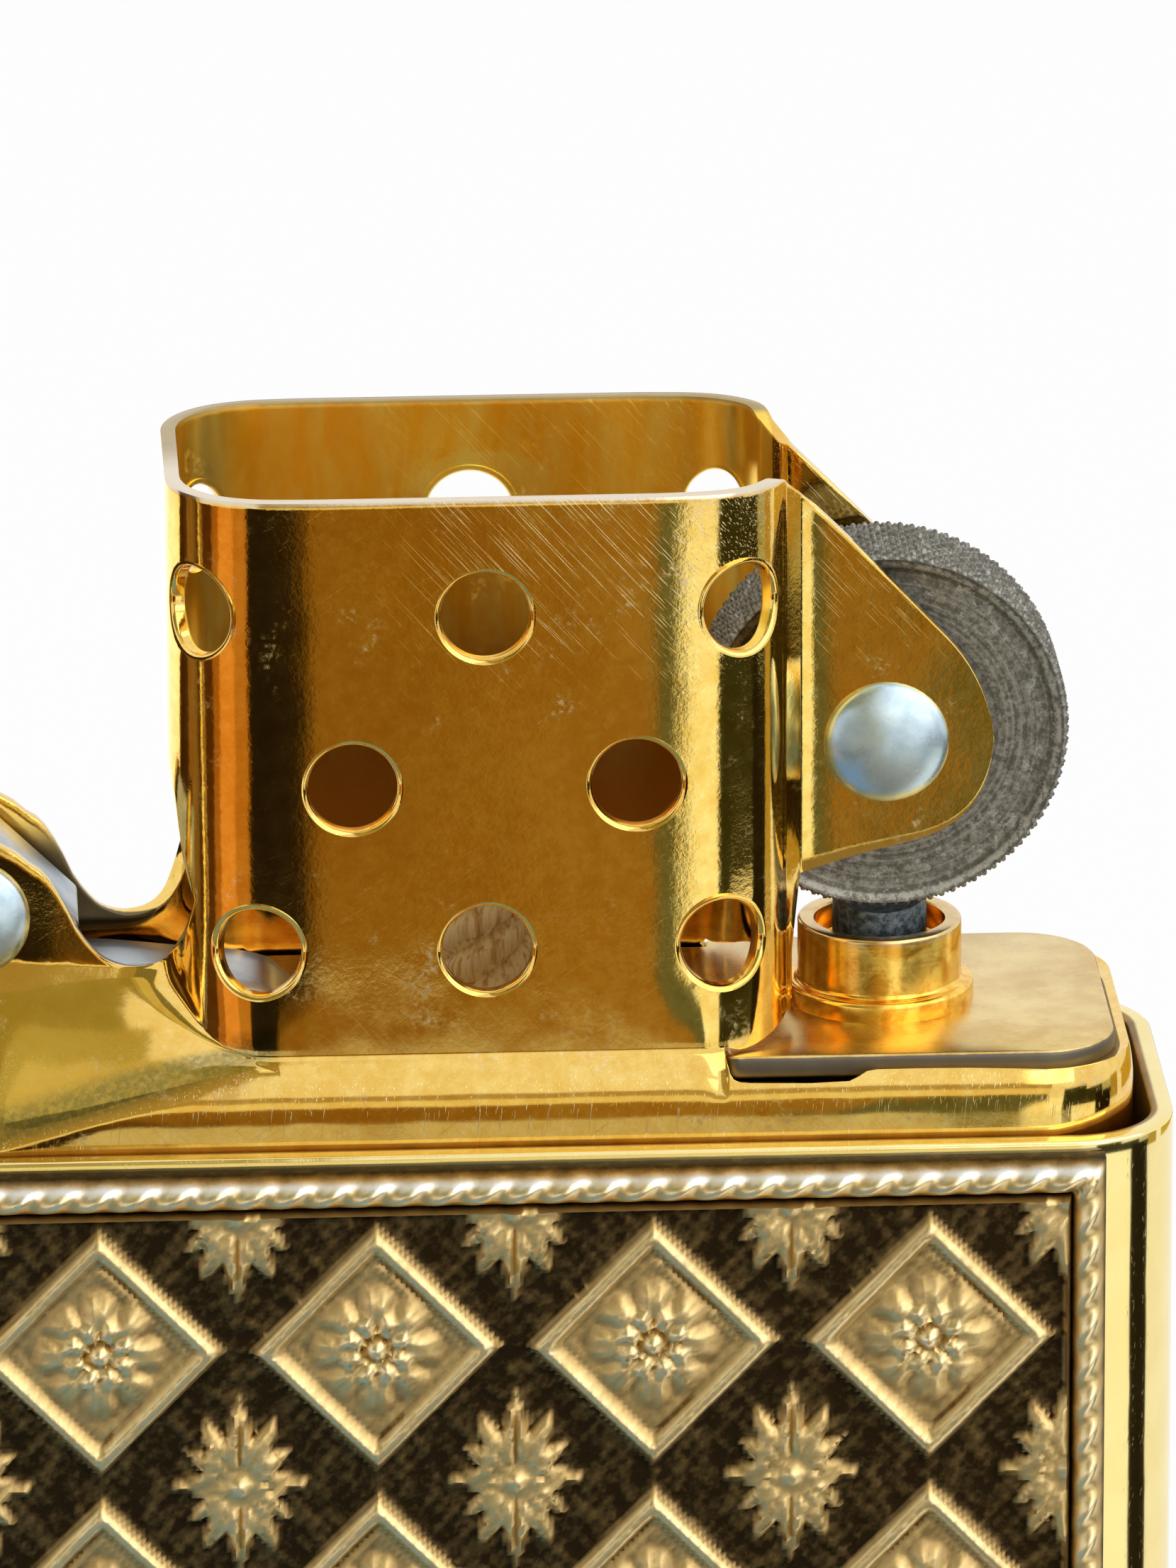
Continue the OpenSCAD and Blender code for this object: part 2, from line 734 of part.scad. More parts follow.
module flint_pusher() {
    color("goldenrod")
        translate([wheel_x, 0, pusher_z0]) {
            cylinder(r = feed_r, h = pusher_l);
            translate([0, 0, -spigot_l])
                cylinder(r = spigot_r, h = spigot_l + eps);
        }
}

// One unbroken coil: rings of points along a helix whose ends run straight
coil_mid = coil_r - wire_t / 2;
coil_sides = 6;
coil_rings = coil_turns * 8;
coil_rise = coil_z1 - coil_z0 - wire_t;
function coil_point(i) =
    let (a = 360 * i / 8)
        [coil_mid * cos(a), coil_mid * sin(a), coil_z0 + wire_t / 2 + coil_rise * i / coil_rings];
function coil_frame(i) =
    let (a = 360 * i / 8, slope = coil_rise / coil_turns / (2 * PI * coil_mid), n = sqrt(1 + slope * slope))
        [[cos(a), sin(a), 0], [slope * sin(a) / n, -slope * cos(a) / n, 1 / n], [-sin(a) / n, cos(a) / n, slope / n]];
function ring(p, f) =
    [for (k = [0:coil_sides - 1])
        p + wire_t / 2 * (cos(360 * k / coil_sides) * f[0] + sin(360 * k / coil_sides) * f[1])];
coil_path = concat(
    [ring(coil_point(0) - wire_t * coil_frame(0)[2], coil_frame(0))],
    [for (i = [0:coil_rings]) ring(coil_point(i), coil_frame(i))],
    [ring(coil_point(coil_rings) + wire_t * coil_frame(coil_rings)[2], coil_frame(coil_rings))]);
coil_last = len(coil_path) - 1;
coil_gap_found = min([for (i = [0:7]) norm(coil_point(i + 8) - coil_point(i))]) - wire_t;

module flint_spring() {
    echo(least_gap_between_turns = coil_gap_found);
    color("silver")
        translate([wheel_x, 0, 0])
            polyhedron(
                points = [for (r = coil_path) each r],
                faces = concat(
                    [for (i = [0:coil_last - 1], k = [0:coil_sides - 1])
                        let (a = i * coil_sides + k, b = i * coil_sides + (k + 1) % coil_sides)
                            [a, a + coil_sides, b]],
                    [for (i = [0:coil_last - 1], k = [0:coil_sides - 1])
                        let (a = i * coil_sides + k, b = i * coil_sides + (k + 1) % coil_sides)
                            [b, a + coil_sides, b + coil_sides]],
                    [for (k = [1:coil_sides - 2]) [0, k, k + 1]],
                    [for (k = [1:coil_sides - 2])
                        [coil_last * coil_sides, coil_last * coil_sides + k + 1, coil_last * coil_sides + k]]));
}

module flint_screw() {
    color("goldenrod")
        translate([wheel_x, 0, 0])
            difference() {
                union() {
                    translate([0, 0, screw_z0])
                        cylinder(r = screw_head_r, h = screw_head_t);
                    translate([0, 0, screw_z0 + screw_head_t - eps])
                        cylinder(r = feed_r, h = shank_z1 - screw_z0 - screw_head_t + eps);
                    translate([0, 0, shank_z1 - eps])
                        cylinder(r = spigot_r, h = spigot_l + eps);
                }
                translate([-screw_head_r - 1, -slot_w / 2, screw_z0 - 1])
                    cube([2 * screw_head_r + 2, slot_w, 1 + screw_head_t / 2]);
            }
}

module striker_wheel() {
    color("dimgray")
        translate([wheel_x, 0, wheel_z])
            difference() {
                union() {
                    upright(wheel_w)
                        polygon([for (i = [0:2 * teeth - 1])
                            (wheel_r - (i % 2) * tooth_h) * [cos(180 * i / teeth), sin(180 * i / teeth)]]);
                    upright(2 * (ear_in - hub_gap))
                        circle(hub_r);
                }
                upright(2 * ear_y)
                    circle(wheel_pin_r + run_gap);
            }
}

// A rivet across the ears, with a low domed head at each end
module rivet(pin, head) {
    rotate([90, 0, 0])
        translate([0, 0, -ear_y])
            cylinder(r = pin, h = 2 * ear_y);
    for (s = [-1, 1])
        rotate([s * 90, 0, 0])
            translate([0, 0, ear_y])
                rotate_extrude()
                    polygon([[0, 0], [head, 0], [head, head_t * 0.4], [head * 0.8, head_t * 0.8],
                        [head * 0.5, head_t], [0, head_t]]);
}

module wheel_rivet() {
    color("silver")
        translate([wheel_x, 0, wheel_z])
            rivet(wheel_pin_r, wheel_head_r);
}

module cam() {
    color("lightgray")
        translate([cam_x, 0, cam_z])
            difference() {
                upright(cam_w)
                    polygon(concat(
                        arc(0, 0, cam_r, 60, 200, 14),
                        [[-heel_l, -heel_l * 0.78], [-heel_l * 0.82, -heel_l], [toe_l * 0.2, -toe_low * 1.08],
                            [toe_l * 0.87, -toe_low], [toe_l, -toe_low * 0.27]]));
                upright(cam_w + 1)
                    circle(cam_pin_r + run_gap);
            }
}

module cam_rivet() {
    color("silver")
        translate([cam_x, 0, cam_z])
            rivet(cam_pin_r, cam_head_r);
}

// The leaf runs from under the cam's toe to its foot on the chimney's floor
leaf_top = cam_z - toe_low - toe_gap;
foot_top = deck_z + spring_leaf_t;
function leaf_line() = [[cam_x + toe_l / 2, leaf_top - leaf_fall], [cam_x + toe_l * 0.87, leaf_top],
    [chim_x0, leaf_top - leaf_fall], [foot_x - 1.8 * foot_l, leaf_top - 2.6 * leaf_fall],
    [foot_x - foot_l, foot_top], [foot_x + foot_l, foot_top]];
module cam_spring() {
    top = leaf_line();
    n = len(top) - 1;
    color("lightsteelblue")
        difference() {
            upright(spring_leaf_w)
                polygon(concat(top, [for (i = [n:-1:0]) top[i] - [0, spring_leaf_t]]));
            translate([foot_x, 0, deck_z - spring_leaf_t])
                cylinder(r = foot_pin_r + fast_gap, h = 3 * spring_leaf_t);
        }
}

module cam_spring_rivet() {
    color("silver")
        translate([foot_x, 0, 0]) {
            translate([0, 0, deck_z0])
                cylinder(r = foot_pin_r, h = deck_t + spring_leaf_t + eps);
            translate([0, 0, deck_z + spring_leaf_t])
                cylinder(r = foot_head_r, h = head_t);
        }
}

felt_z0 = screw_z0 + screw_head_t;
felt_z1 = felt_z0 + felt_t;
wick_z0 = felt_z1 + wick_start;
module wick() {
    color("beige")
        translate([wick_x, 0, wick_z0])
            cylinder(r = wick_r, h = deck_z + wick_up - wick_z0);
}

module wadding() {
    z0 = felt_z1 + wad_gap;
    z1 = deck_z0 - wad_gap;
    step = (z1 - z0) / wad_count;
    x0 = ins_x0 + ins_t + wad_gap;
    x1 = wheel_x - tube_r - wad_gap;
    color("white")
        for (i = [0:wad_count - 1])
            translate([(x0 + x1) / 2, 0, z0 + i * step])
                difference() {
                    linear_extrude(i == wad_count - 1 ? case_h - wad_top - z0 - i * step : step - wad_gap)
                        round_rect(x1 - x0, ins_d - 2 * ins_t - 2 * wad_gap, ins_r - ins_t);
                    translate([wick_x - (x0 + x1) / 2, 0, -1])
                        cylinder(r = wick_r + wad_gap, h = step + 2);
                }
}

module felt_pad() {
    color("tan")
        translate([0, 0, felt_z0])
            difference() {
                linear_extrude(felt_t)
                    insert_plan(ins_t + seat_gap);
                translate([wheel_x, 0, -1])
                    cylinder(r = screw_head_r + wad_gap, h = felt_t + 2);
            }
}

case_bottom();
case_lid();
hinge_leaf_case();
hinge_leaf_lid();
hinge_pin();
case_relief_plate();
lid_relief_plate();
lid_stop();
insert_shell();
insert_deck();
flint_tube();
flint();
flint_pusher();
flint_spring();
flint_screw();
striker_wheel();
wheel_rivet();
cam();
cam_rivet();
cam_spring();
cam_spring_rivet();
wick();
wadding();
felt_pad();
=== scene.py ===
"""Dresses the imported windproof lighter.
Shapes are worked in millimetres, in the part's own frame, and made metres when they are placed."""
from math import atan2, copysign, cos, degrees, pi, radians, sin, sqrt, tan

import bmesh
import bpy
import numpy as np
from bmesh.types import BMEdge, BMVert
from mathutils import Matrix, Vector, noise


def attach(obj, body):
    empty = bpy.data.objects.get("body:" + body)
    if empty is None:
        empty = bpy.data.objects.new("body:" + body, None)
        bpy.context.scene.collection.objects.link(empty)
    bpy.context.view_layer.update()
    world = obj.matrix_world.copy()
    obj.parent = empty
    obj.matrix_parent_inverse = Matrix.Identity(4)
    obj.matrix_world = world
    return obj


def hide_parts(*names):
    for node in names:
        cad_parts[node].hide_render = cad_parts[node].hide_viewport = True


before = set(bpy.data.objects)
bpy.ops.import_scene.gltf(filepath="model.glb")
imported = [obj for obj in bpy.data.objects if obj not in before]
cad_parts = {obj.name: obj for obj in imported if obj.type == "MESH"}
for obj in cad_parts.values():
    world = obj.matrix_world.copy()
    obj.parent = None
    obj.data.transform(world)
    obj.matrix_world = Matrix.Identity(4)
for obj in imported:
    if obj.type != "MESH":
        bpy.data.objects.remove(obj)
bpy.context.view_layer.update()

MM = 0.001

# Case
CASE_W, CASE_D, CASE_H = 38.0, 13.0, 37.0
LID_Z0, LID_Z1 = 37.15, 57.35
WALL = 0.65
EDGE_R, EDGE_BREAK = 3.0, 1.2
HINGE_X, SPLIT_Z, OPEN = -19.3, 37.075, 120
NOTCH_HALF, NOTCH_H = 3.5, 1.15

# Relief plates
PLATE_W, PLATE_T, RELIEF_T, BORDER = 33.6, 0.7, 0.6, 1.1
CASE_PLATE_Z, LID_PLATE_Z = (2, 36.7), (37.45, 55.35)
RELIEF_GRID = 0.14

# Insert
INS_X0, INS_X1, INS_HALF, INS_R, SHEET = -17.8, 17.9, 5.75, 2.7, 0.42
END_HALF = 2.1
DECK_Z, DECK_T = 39.2, 0.55
EAR_Y = 2.6
SLOPE_Z0, SLOPE_Z1, SLOPE_FALL = 37.3, 41.3, 0.2933

# Chimney
CHIM_Y, CHIM_TOP = 5.2, 55.9
CH_X0, CH_R0, CH_CX0, CH_CY0 = -9.5, 3.0, -6.5, 2.2
CH_R1, CH_CX1, CH_CY1 = 2.6, 5.4, 2.6
VENT_R, LIP = 1.27, 0.17
CREASE_Z = 39.55
SLIT_Z = 43.9

# Wheel, cam and flint
WHEEL_X, WHEEL_Z, WHEEL_R, WHEEL_W = 10.85, 47.75, 5.3, 3.4
CAM_X, CAM_Z, CAM_EAR_R = -15.2, 43.0, 2.3
CAM_HALF, LEAF_T = 1.7, 0.25
FOOT_X, FOOT_Z = -4.3, 39.45

# Wick and felt
WICK_X, WICK_Z0, WICK_LENGTH, STRAND_R = -0.5, 9.3, 36.3, 0.72
FELT_Z0, FELT_Z1 = 3.05, 5.15

# Camera, in millimetres and degrees: place, then yaw, pitch and roll
CAMERA_AT, CAMERA_TURNS = (-17.2, -383.8, 171.5), (2.94, 18.11, 0.22)
SENSOR_W, LENS = 36, 434.0

# Steps of a card that bends round the object
CARD_STEPS = 12


# Making and placing pieces

def empty_tree(owner):
    """The node tree of a material or a world, with nothing in it."""
    owner.use_nodes = True
    owner.node_tree.nodes.clear()
    return owner.node_tree


def into_scene(obj):
    """Adds an object to the scene."""
    bpy.context.scene.collection.objects.link(obj)
    return obj


def mesh_object(name, bm):
    """A mesh object from a bmesh in millimetres."""
    bmesh.ops.scale(bm, vec=(MM, MM, MM), verts=bm.verts)
    mesh = bpy.data.meshes.new(name)
    bm.to_mesh(mesh)
    bm.free()
    return into_scene(bpy.data.objects.new(name, mesh))


def place(name, bm, paint, body, nodes=(), mods=(), sharp=38, cutter=None):
    """Finishes a piece: modifiers, smoothing, paint, and what it rides on and stands for."""
    obj = mesh_object(name, bm)
    knife = mesh_object(name + "_knife", cutter) if cutter else None
    for kind, settings in mods:
        mod = obj.modifiers.new(kind, kind)
        for key, value in settings.items():
            setattr(mod, key, value)
    if knife:
        cut = obj.modifiers.new("cut", "BOOLEAN")
        cut.operation, cut.solver, cut.object = "DIFFERENCE", "EXACT", knife
    if mods or knife:
        graph = bpy.context.evaluated_depsgraph_get()
        done = bpy.data.meshes.new_from_object(obj.evaluated_get(graph))
        obj.modifiers.clear()
        obj.data = done
    if knife:
        bpy.data.objects.remove(knife)
    obj.data.shade_smooth()
    obj.data.set_sharp_from_angle(angle=radians(sharp))
    obj.data.materials.clear()
    obj.data.materials.append(paint)
    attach(obj, body)
    if nodes:
        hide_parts(*nodes)
    return obj


def thick(depth):
    """Settings that give a sheet its thickness, inwards."""
    return ("SOLIDIFY", {"thickness": depth * MM, "offset": -1, "use_even_offset": True,
                         "use_quality_normals": True})


def rounded(width, segments=2, angle=40):
    """Settings that round every edge sharper than an angle in degrees."""
    return ("BEVEL", {"width": width * MM, "segments": segments, "limit_method": "ANGLE",
                      "angle_limit": radians(angle), "harden_normals": False})


def outwards(bm):
    """Turns every face outwards."""
    bmesh.ops.recalc_face_normals(bm, faces=bm.faces)


def edges_at(verts):
    """The edges at some corners, each once and in their own order."""
    return list(dict.fromkeys(e for v in verts for e in v.link_edges))


def only(kind, geom):
    """Those of one kind from a list of corners, edges and faces."""
    return [g for g in geom if isinstance(g, kind)]


def clean(bm, gap=0.004):
    """Joins doubles and turns the faces outwards."""
    bmesh.ops.remove_doubles(bm, verts=bm.verts, dist=gap)
    bmesh.ops.dissolve_degenerate(bm, edges=bm.edges, dist=gap / 4)
    outwards(bm)
    return bm


def weld_pinholes(obj):
    """Draws the corners of a hole of no size together, and touches nothing else."""
    bm = bmesh.new()
    bm.from_mesh(obj.data)
    rim = [v for v in bm.verts if v.is_boundary]
    bmesh.ops.remove_doubles(bm, verts=rim, dist=0.001 * MM)
    bm.to_mesh(obj.data)
    bm.free()


def open_lid(bm):
    """Turns a closed lid's piece to where the open lid rests."""
    bmesh.ops.rotate(bm, verts=bm.verts, cent=(HINGE_X, 0, SPLIT_Z),
                     matrix=Matrix.Rotation(radians(-OPEN), 3, "Y"))
    return bm


def pressed(bm, cols, rows, at):
    """A grid whose corners go where at(column, row) says."""
    made = bmesh.ops.create_grid(bm, x_segments=cols - 1, y_segments=rows - 1, size=0.5)
    for v in made["verts"]:
        i = round((v.co.x + 0.5) * (cols - 1))
        j = round((v.co.y + 0.5) * (rows - 1))
        v.co = Vector(at(i, j))


def turned(bm, profile, steps, x=0):
    """Spins a profile of (radius, height) round an upright axis at x."""
    verts = [bm.verts.new((x + r, 0, h)) for r, h in profile]
    edges = [bm.edges.new(pair) for pair in zip(verts, verts[1:])]
    bmesh.ops.spin(bm, geom=verts + edges, cent=(x, 0, 0), axis=(0, 0, 1), angle=2 * pi,
                   steps=steps, use_merge=True, use_duplicate=False)


def soft_corner(r, h, radius, start, end, steps=5):
    """Points of a rounded corner of a profile, from one angle to another, in degrees."""
    turns = [radians(start + (end - start) * i / steps) for i in range(steps + 1)]
    return [(r + radius * cos(a), h + radius * sin(a)) for a in turns]


def slab(bm, outline, z0, z1, corners=()):
    """An upright plate from an outline; corners are (index list, radius) to round first."""
    verts = [bm.verts.new((x, y, z0)) for x, y in outline]
    bm.faces.new(verts)
    for which, radius in corners:
        bmesh.ops.bevel(bm, geom=[verts[i] for i in which], offset=radius, segments=14,
                        profile=0.5, affect="VERTICES", material=-1, offset_type="OFFSET")
    grown = bmesh.ops.extrude_face_region(bm, geom=bm.faces[:])
    bmesh.ops.translate(bm, verts=only(BMVert, grown["geom"]), vec=(0, 0, z1 - z0))
    outwards(bm)
    return bm


def smooth_low(a, b, k):
    """The lower of two values, rounded where they cross."""
    h = max(k - abs(a - b), 0) / k
    return min(a, b) - h * h * k / 4


def smooth_high(a, b, k):
    """The higher of two values, rounded where they cross."""
    return -smooth_low(-a, -b, k)


def unit(t):
    """A value held between 0 and 1."""
    return min(max(t, 0), 1)


def through(points, x):
    """A smooth curve through points (x, value), read at x."""
    if x <= points[0][0]:
        return points[0][1]
    for i in range(len(points) - 1):
        (x0, y0), (x1, y1) = points[i], points[i + 1]
        if x <= x1:
            before = points[max(i - 1, 0)]
            after = points[min(i + 2, len(points) - 1)]
            m0 = (y1 - before[1]) / (x1 - before[0])
            m1 = (after[1] - y0) / (after[0] - x0)
            w, t = x1 - x0, (x - x0) / (x1 - x0)
            return ((2 * t**3 - 3 * t**2 + 1) * y0 + (t**3 - 2 * t**2 + t) * w * m0
                    + (3 * t**2 - 2 * t**3) * y1 + (t**3 - t**2) * w * m1)
    return points[-1][1]


# Paints

class Value:
    """A value that changes over a surface; sums and products of it add Math nodes."""

    def __init__(self, paint, socket):
        self.paint, self.socket = paint, socket

    def _math(self, operation, a, b):
        return self.paint.node("ShaderNodeMath", {"operation": operation}, {0: a, 1: b})

    def __add__(self, other):
        return self._math("ADD", self, other)

    __radd__ = __add__

    def __sub__(self, other):
        return self._math("SUBTRACT", self, other)

    def __rsub__(self, other):
        return self._math("SUBTRACT", other, self)

    def __mul__(self, other):
        return self._math("MULTIPLY", self, other)

    __rmul__ = __mul__

    def __pow__(self, other):
        return self._math("POWER", self, other)

    def __abs__(self):
        return self.paint.node("ShaderNodeMath", {"operation": "ABSOLUTE"}, {0: self})


class Paint:
    """One finish, built up from nodes on Object coordinates in millimetres."""

    def __init__(self, name, **fixed):
        self.material = bpy.data.materials.new(name)
        self.tree = empty_tree(self.material)
        self.shader = self.tree.nodes.new("ShaderNodeBsdfPrincipled")
        out = self.tree.nodes.new("ShaderNodeOutputMaterial")
        self.tree.links.new(self.shader.outputs[0], out.inputs[0])
        for key, value in fixed.items():
            self.shader.inputs[key.replace("_", " ")].default_value = value
        coords = self.node("ShaderNodeTexCoord", out=3)
        self.at = self.node("ShaderNodeVectorMath", {"operation": "SCALE"}, {0: coords, 3: 1 / MM})
        self.x, self.y, self.z = self.split(self.at)

    def node(self, kind, settings=None, inputs=None, out=0):
        """Adds a node: its settings first, then the values or links of its sockets."""
        made = self.tree.nodes.new(kind)
        for key, value in (settings or {}).items():
            if key == "stops":
                ramp = made.color_ramp
                while len(ramp.elements) < len(value):
                    ramp.elements.new(0.5)
                for element, (place_at, colour) in zip(ramp.elements, value):
                    element.position, element.color = place_at, (*colour, 1)
            else:
                setattr(made, key, value)
        for key, value in (inputs or {}).items():
            if isinstance(value, Value):
                self.tree.links.new(value.socket, made.inputs[key])
            else:
                made.inputs[key].default_value = value
        return Value(self, made.outputs[out])

    def split(self, at):
        """The x, y and z of a place."""
        return [self.node("ShaderNodeSeparateXYZ", None, {0: at}, out=i) for i in range(3)]

    def most(self, a, b):
        return self.node("ShaderNodeMath", {"operation": "MAXIMUM"}, {0: a, 1: b})

    def past_corner(self, a, b):
        """Distance round a corner, from how far a place lies past the ends of its two flat sides."""
        a, b = self.most(a, 0.0), self.most(b, 0.0)
        return (a * a + b * b) ** 0.5

    def moved(self, turn=(0, 0, 0), scale=(1, 1, 1)):
        turn = tuple(radians(a) for a in turn)
        return self.node("ShaderNodeMapping", None, {0: self.at, 2: turn, 3: scale})

    def grain(self, scale, detail=3.0, rough=0.5, at=None, warp=0.0):
        return self.node("ShaderNodeTexNoise", None, {
            "Vector": at or self.at, "Scale": scale, "Detail": detail, "Roughness": rough,
            "Distortion": warp})

    def step(self, value, low, high, start=0.0, end=1.0):
        """Goes smoothly from start to end while value goes from low to high."""
        return self.node("ShaderNodeMapRange", {"interpolation_type": "SMOOTHSTEP"},
                         {0: value, 1: low, 2: high, 3: start, 4: end})

    def streaks(self, turn, length, width, low, high, shift=(0, 0, 0)):
        """Fine lines, longer in one direction, as scratches are."""
        turn = tuple(radians(a) for a in turn)
        lined = self.node("ShaderNodeMapping", {"vector_type": "TEXTURE"},
                          {0: self.at, 1: shift, 2: turn, 3: (width, width, length)})
        return self.step(self.grain(1.0, 2.0, 0.5, lined), low, high)

    def mix(self, share, a, b):
        """A colour between two others."""
        a, b = (c if isinstance(c, Value) else (*c, 1) for c in (a, b))
        return self.node("ShaderNodeMix", {"data_type": "RGBA"}, {0: share, 6: a, 7: b}, out=2)

    def wear(self, colour=None, rough=None, bumps=(), metallic=None):
        """Feeds the shader; bumps are (height, strength, depth in mm)."""
        for key, value in (("Base Color", colour), ("Roughness", rough), ("Metallic", metallic)):
            if value is not None:
                self.tree.links.new(value.socket, self.shader.inputs[key])
        normal = None
        for height, strength, depth in bumps:
            sockets = {"Height": height, "Strength": strength, "Distance": depth * MM}
            if normal:
                sockets["Normal"] = normal
            normal = self.node("ShaderNodeBump", None, sockets)
        if normal:
            self.tree.links.new(normal.socket, self.shader.inputs["Normal"])
        return self.material


def gold_sheet():
    """Gold plate on the insert: polished outside with scuffs and hairlines, dull inside, with painted shade
    along the slope's crease and on the inner faces by the cam.
    """
    p = Paint("insert_gold_plate", Metallic=1.0)
    broad = p.grain(0.22, 2.0)
    mottle = p.grain(1.9, 6.0, 0.66)
    mottle = 0.5 + (mottle - 0.5) * p.step(p.x, -11.0, -9.4, 0.35, 1.0)
    skin = p.grain(6.0, 4.0, 0.6)
    deep, amber, pale = (0.83, 0.51, 0.10), (0.94, 0.66, 0.19), (0.97, 0.80, 0.42)
    colour = p.mix(p.step(mottle * 0.6 + broad * 0.4, 0.36, 0.64), deep, amber)
    colour = p.mix(p.step(skin * 0.6 + mottle * 0.4, 0.54, 0.68) * 0.35, colour, pale)
    slanted = p.streaks((0, -42, 0), 3.2, 0.028, 0.60, 0.74)
    crossed = p.streaks((0, 55, 0), 2.6, 0.03, 0.66, 0.76, (3, 1, 7))
    upright_lines = p.streaks((0, 6, 0), 2.4, 0.03, 0.64, 0.75, (9, 4, 2))
    near_top = p.step(p.z + mottle * 3.0, 50.5, 56.5) * p.step(p.x, -5.0, 1.0)
    low_down = p.step(p.z, 40.2, 38.8)
    lines = slanted * (0.10 + near_top * 0.9) + crossed * 0.15 + upright_lines * (0.05 + low_down * 0.8)
    marks = p.step(lines, 0.0, 1.0)
    colour = p.mix(marks * 0.75, colour, (0.98, 0.92, 0.75))
    scuffs = p.step(p.grain(0.5, 7.0, 0.72, warp=0.2), 0.55, 0.72) * p.step(skin, 0.40, 0.62)
    colour = p.mix(scuffs * 0.45, colour, (0.92, 0.87, 0.80))
    depth = abs(p.y)
    out = p.past_corner(p.most(p.x - CH_CX1, CH_CX0 - p.x), depth - 2.4)
    inside = p.step(out, 2.58, 2.52) * p.step(p.z, 41.0, 42.0)
    # Inside the chimney the colour turns darker brown lower down.
    darker_low_inside = p.step(p.z + broad * 3.0 + mottle * 2.0, 52.0, 47.5)
    drips = p.step(p.grain(1.0, 4.0, 0.6, p.moved(scale=(1.0, 1.0, 0.30)), warp=0.6), 0.30, 0.74)
    patch_x = p.x * 0.5 + 0.1
    patch_z = p.z - 53.4
    patch = p.step(patch_x * patch_x + patch_z * patch_z + mottle, 1.6, 1.2) * p.step(p.y, 3.0, 4.0)
    clear = p.mix(drips * 0.8 + patch * 0.5, (1.0, 0.58, 0.03), (1.0, 0.88, 0.25))
    colour = p.mix(inside * 0.9, colour, p.mix(darker_low_inside, clear, (0.42, 0.20, 0.03)))
    # Painted shade: a dark olive, speckled band along the crease where the sloping sheet meets the front.
    rise = p.z - p.x * SLOPE_FALL - 41.62
    crease = p.step(rise, -0.35, 0.10) * p.step(rise, 1.00, 0.45)
    crease = crease * p.step(p.x, -6.2, -7.0) * p.step(depth, 4.7, 4.95)
    colour = p.mix(crease * (0.45 + p.step(skin, 0.64, 0.40) * 0.35), colour, (0.28, 0.26, 0.12))
    # Painted shade: the inner faces of the sheet by the cam ear go near black.
    painted_ear_shade = p.step(depth, 2.45, 2.35) * p.step(p.x, -9.0, -9.8) * p.step(p.z, 44.6, 43.2)
    colour = p.mix(painted_ear_shade * 0.9, colour, (0.09, 0.075, 0.055))
    # The chimney's top rim is painted pale at the front and dark brown at the back: painted light and shade.
    rim = p.step(p.z + mottle * 0.1, 55.80, 55.92)
    colour = p.mix(rim * 0.75, colour, p.mix(p.step(p.y, 1.0, -2.0), (0.30, 0.24, 0.15), (0.76, 0.72, 0.66)))
    rough = 0.045 + mottle * 0.05 + scuffs * 0.25 + marks * 0.15 + inside * 0.22 + painted_ear_shade * 0.3 + rim * 0.15
    pitted = skin * p.step(p.z, 40.0, 44.0, 0.15, 1.0)
    return p.wear(colour, rough, [(broad, 0.08, 0.5), (pitted, 0.14, 0.02), (marks, 0.15, 0.02)])


def deck_gold():
    """Satin gold of the deck plate, dark on its cut edge."""
    p = Paint("deck_gold_plate", Metallic=1.0)
    mottle = p.grain(1.1, 5.0, 0.65)
    broad = p.grain(0.3, 2.0)
    colour = p.mix(p.step(mottle * 0.5 + broad * 0.5, 0.36, 0.64), (0.66, 0.43, 0.12), (0.86, 0.66, 0.27))
    lines = p.streaks((0, 90, 20), 3.0, 0.035, 0.64, 0.74)
    colour = p.mix(lines * 0.4, colour, (0.96, 0.88, 0.65))
    cut = p.step(p.z + mottle * 0.04, 39.305, 39.27)
    colour = p.mix(cut * 0.9, colour, (0.085, 0.085, 0.09))
    rough = 0.20 + mottle * 0.16 + cut * 0.15
    return p.wear(colour, rough, [(mottle, 0.08, 0.04), (lines, 0.08, 0.02)])


def tube_gold():
    """Gold of the flint tube, dulled in blotches, paler on its rim."""
    p = Paint("tube_gold_plate", Metallic=1.0)
    mottle = p.grain(1.5, 4.0, 0.6, warp=0.5)
    rings = p.grain(1.0, 2.0, 0.5, p.moved(scale=(0.4, 0.4, 9.0)))
    colour = p.mix(p.step(mottle, 0.36, 0.60), (0.80, 0.40, 0.045), (1.0, 0.66, 0.13))
    colour = p.mix(p.step(p.z + mottle * 0.2, 41.5, 41.75) * 0.6, colour, (0.62, 0.52, 0.36))
    rough = 0.14 + mottle * 0.14
    return p.wear(colour, rough, [(mottle, 0.10, 0.06), (rings, 0.06, 0.02)])


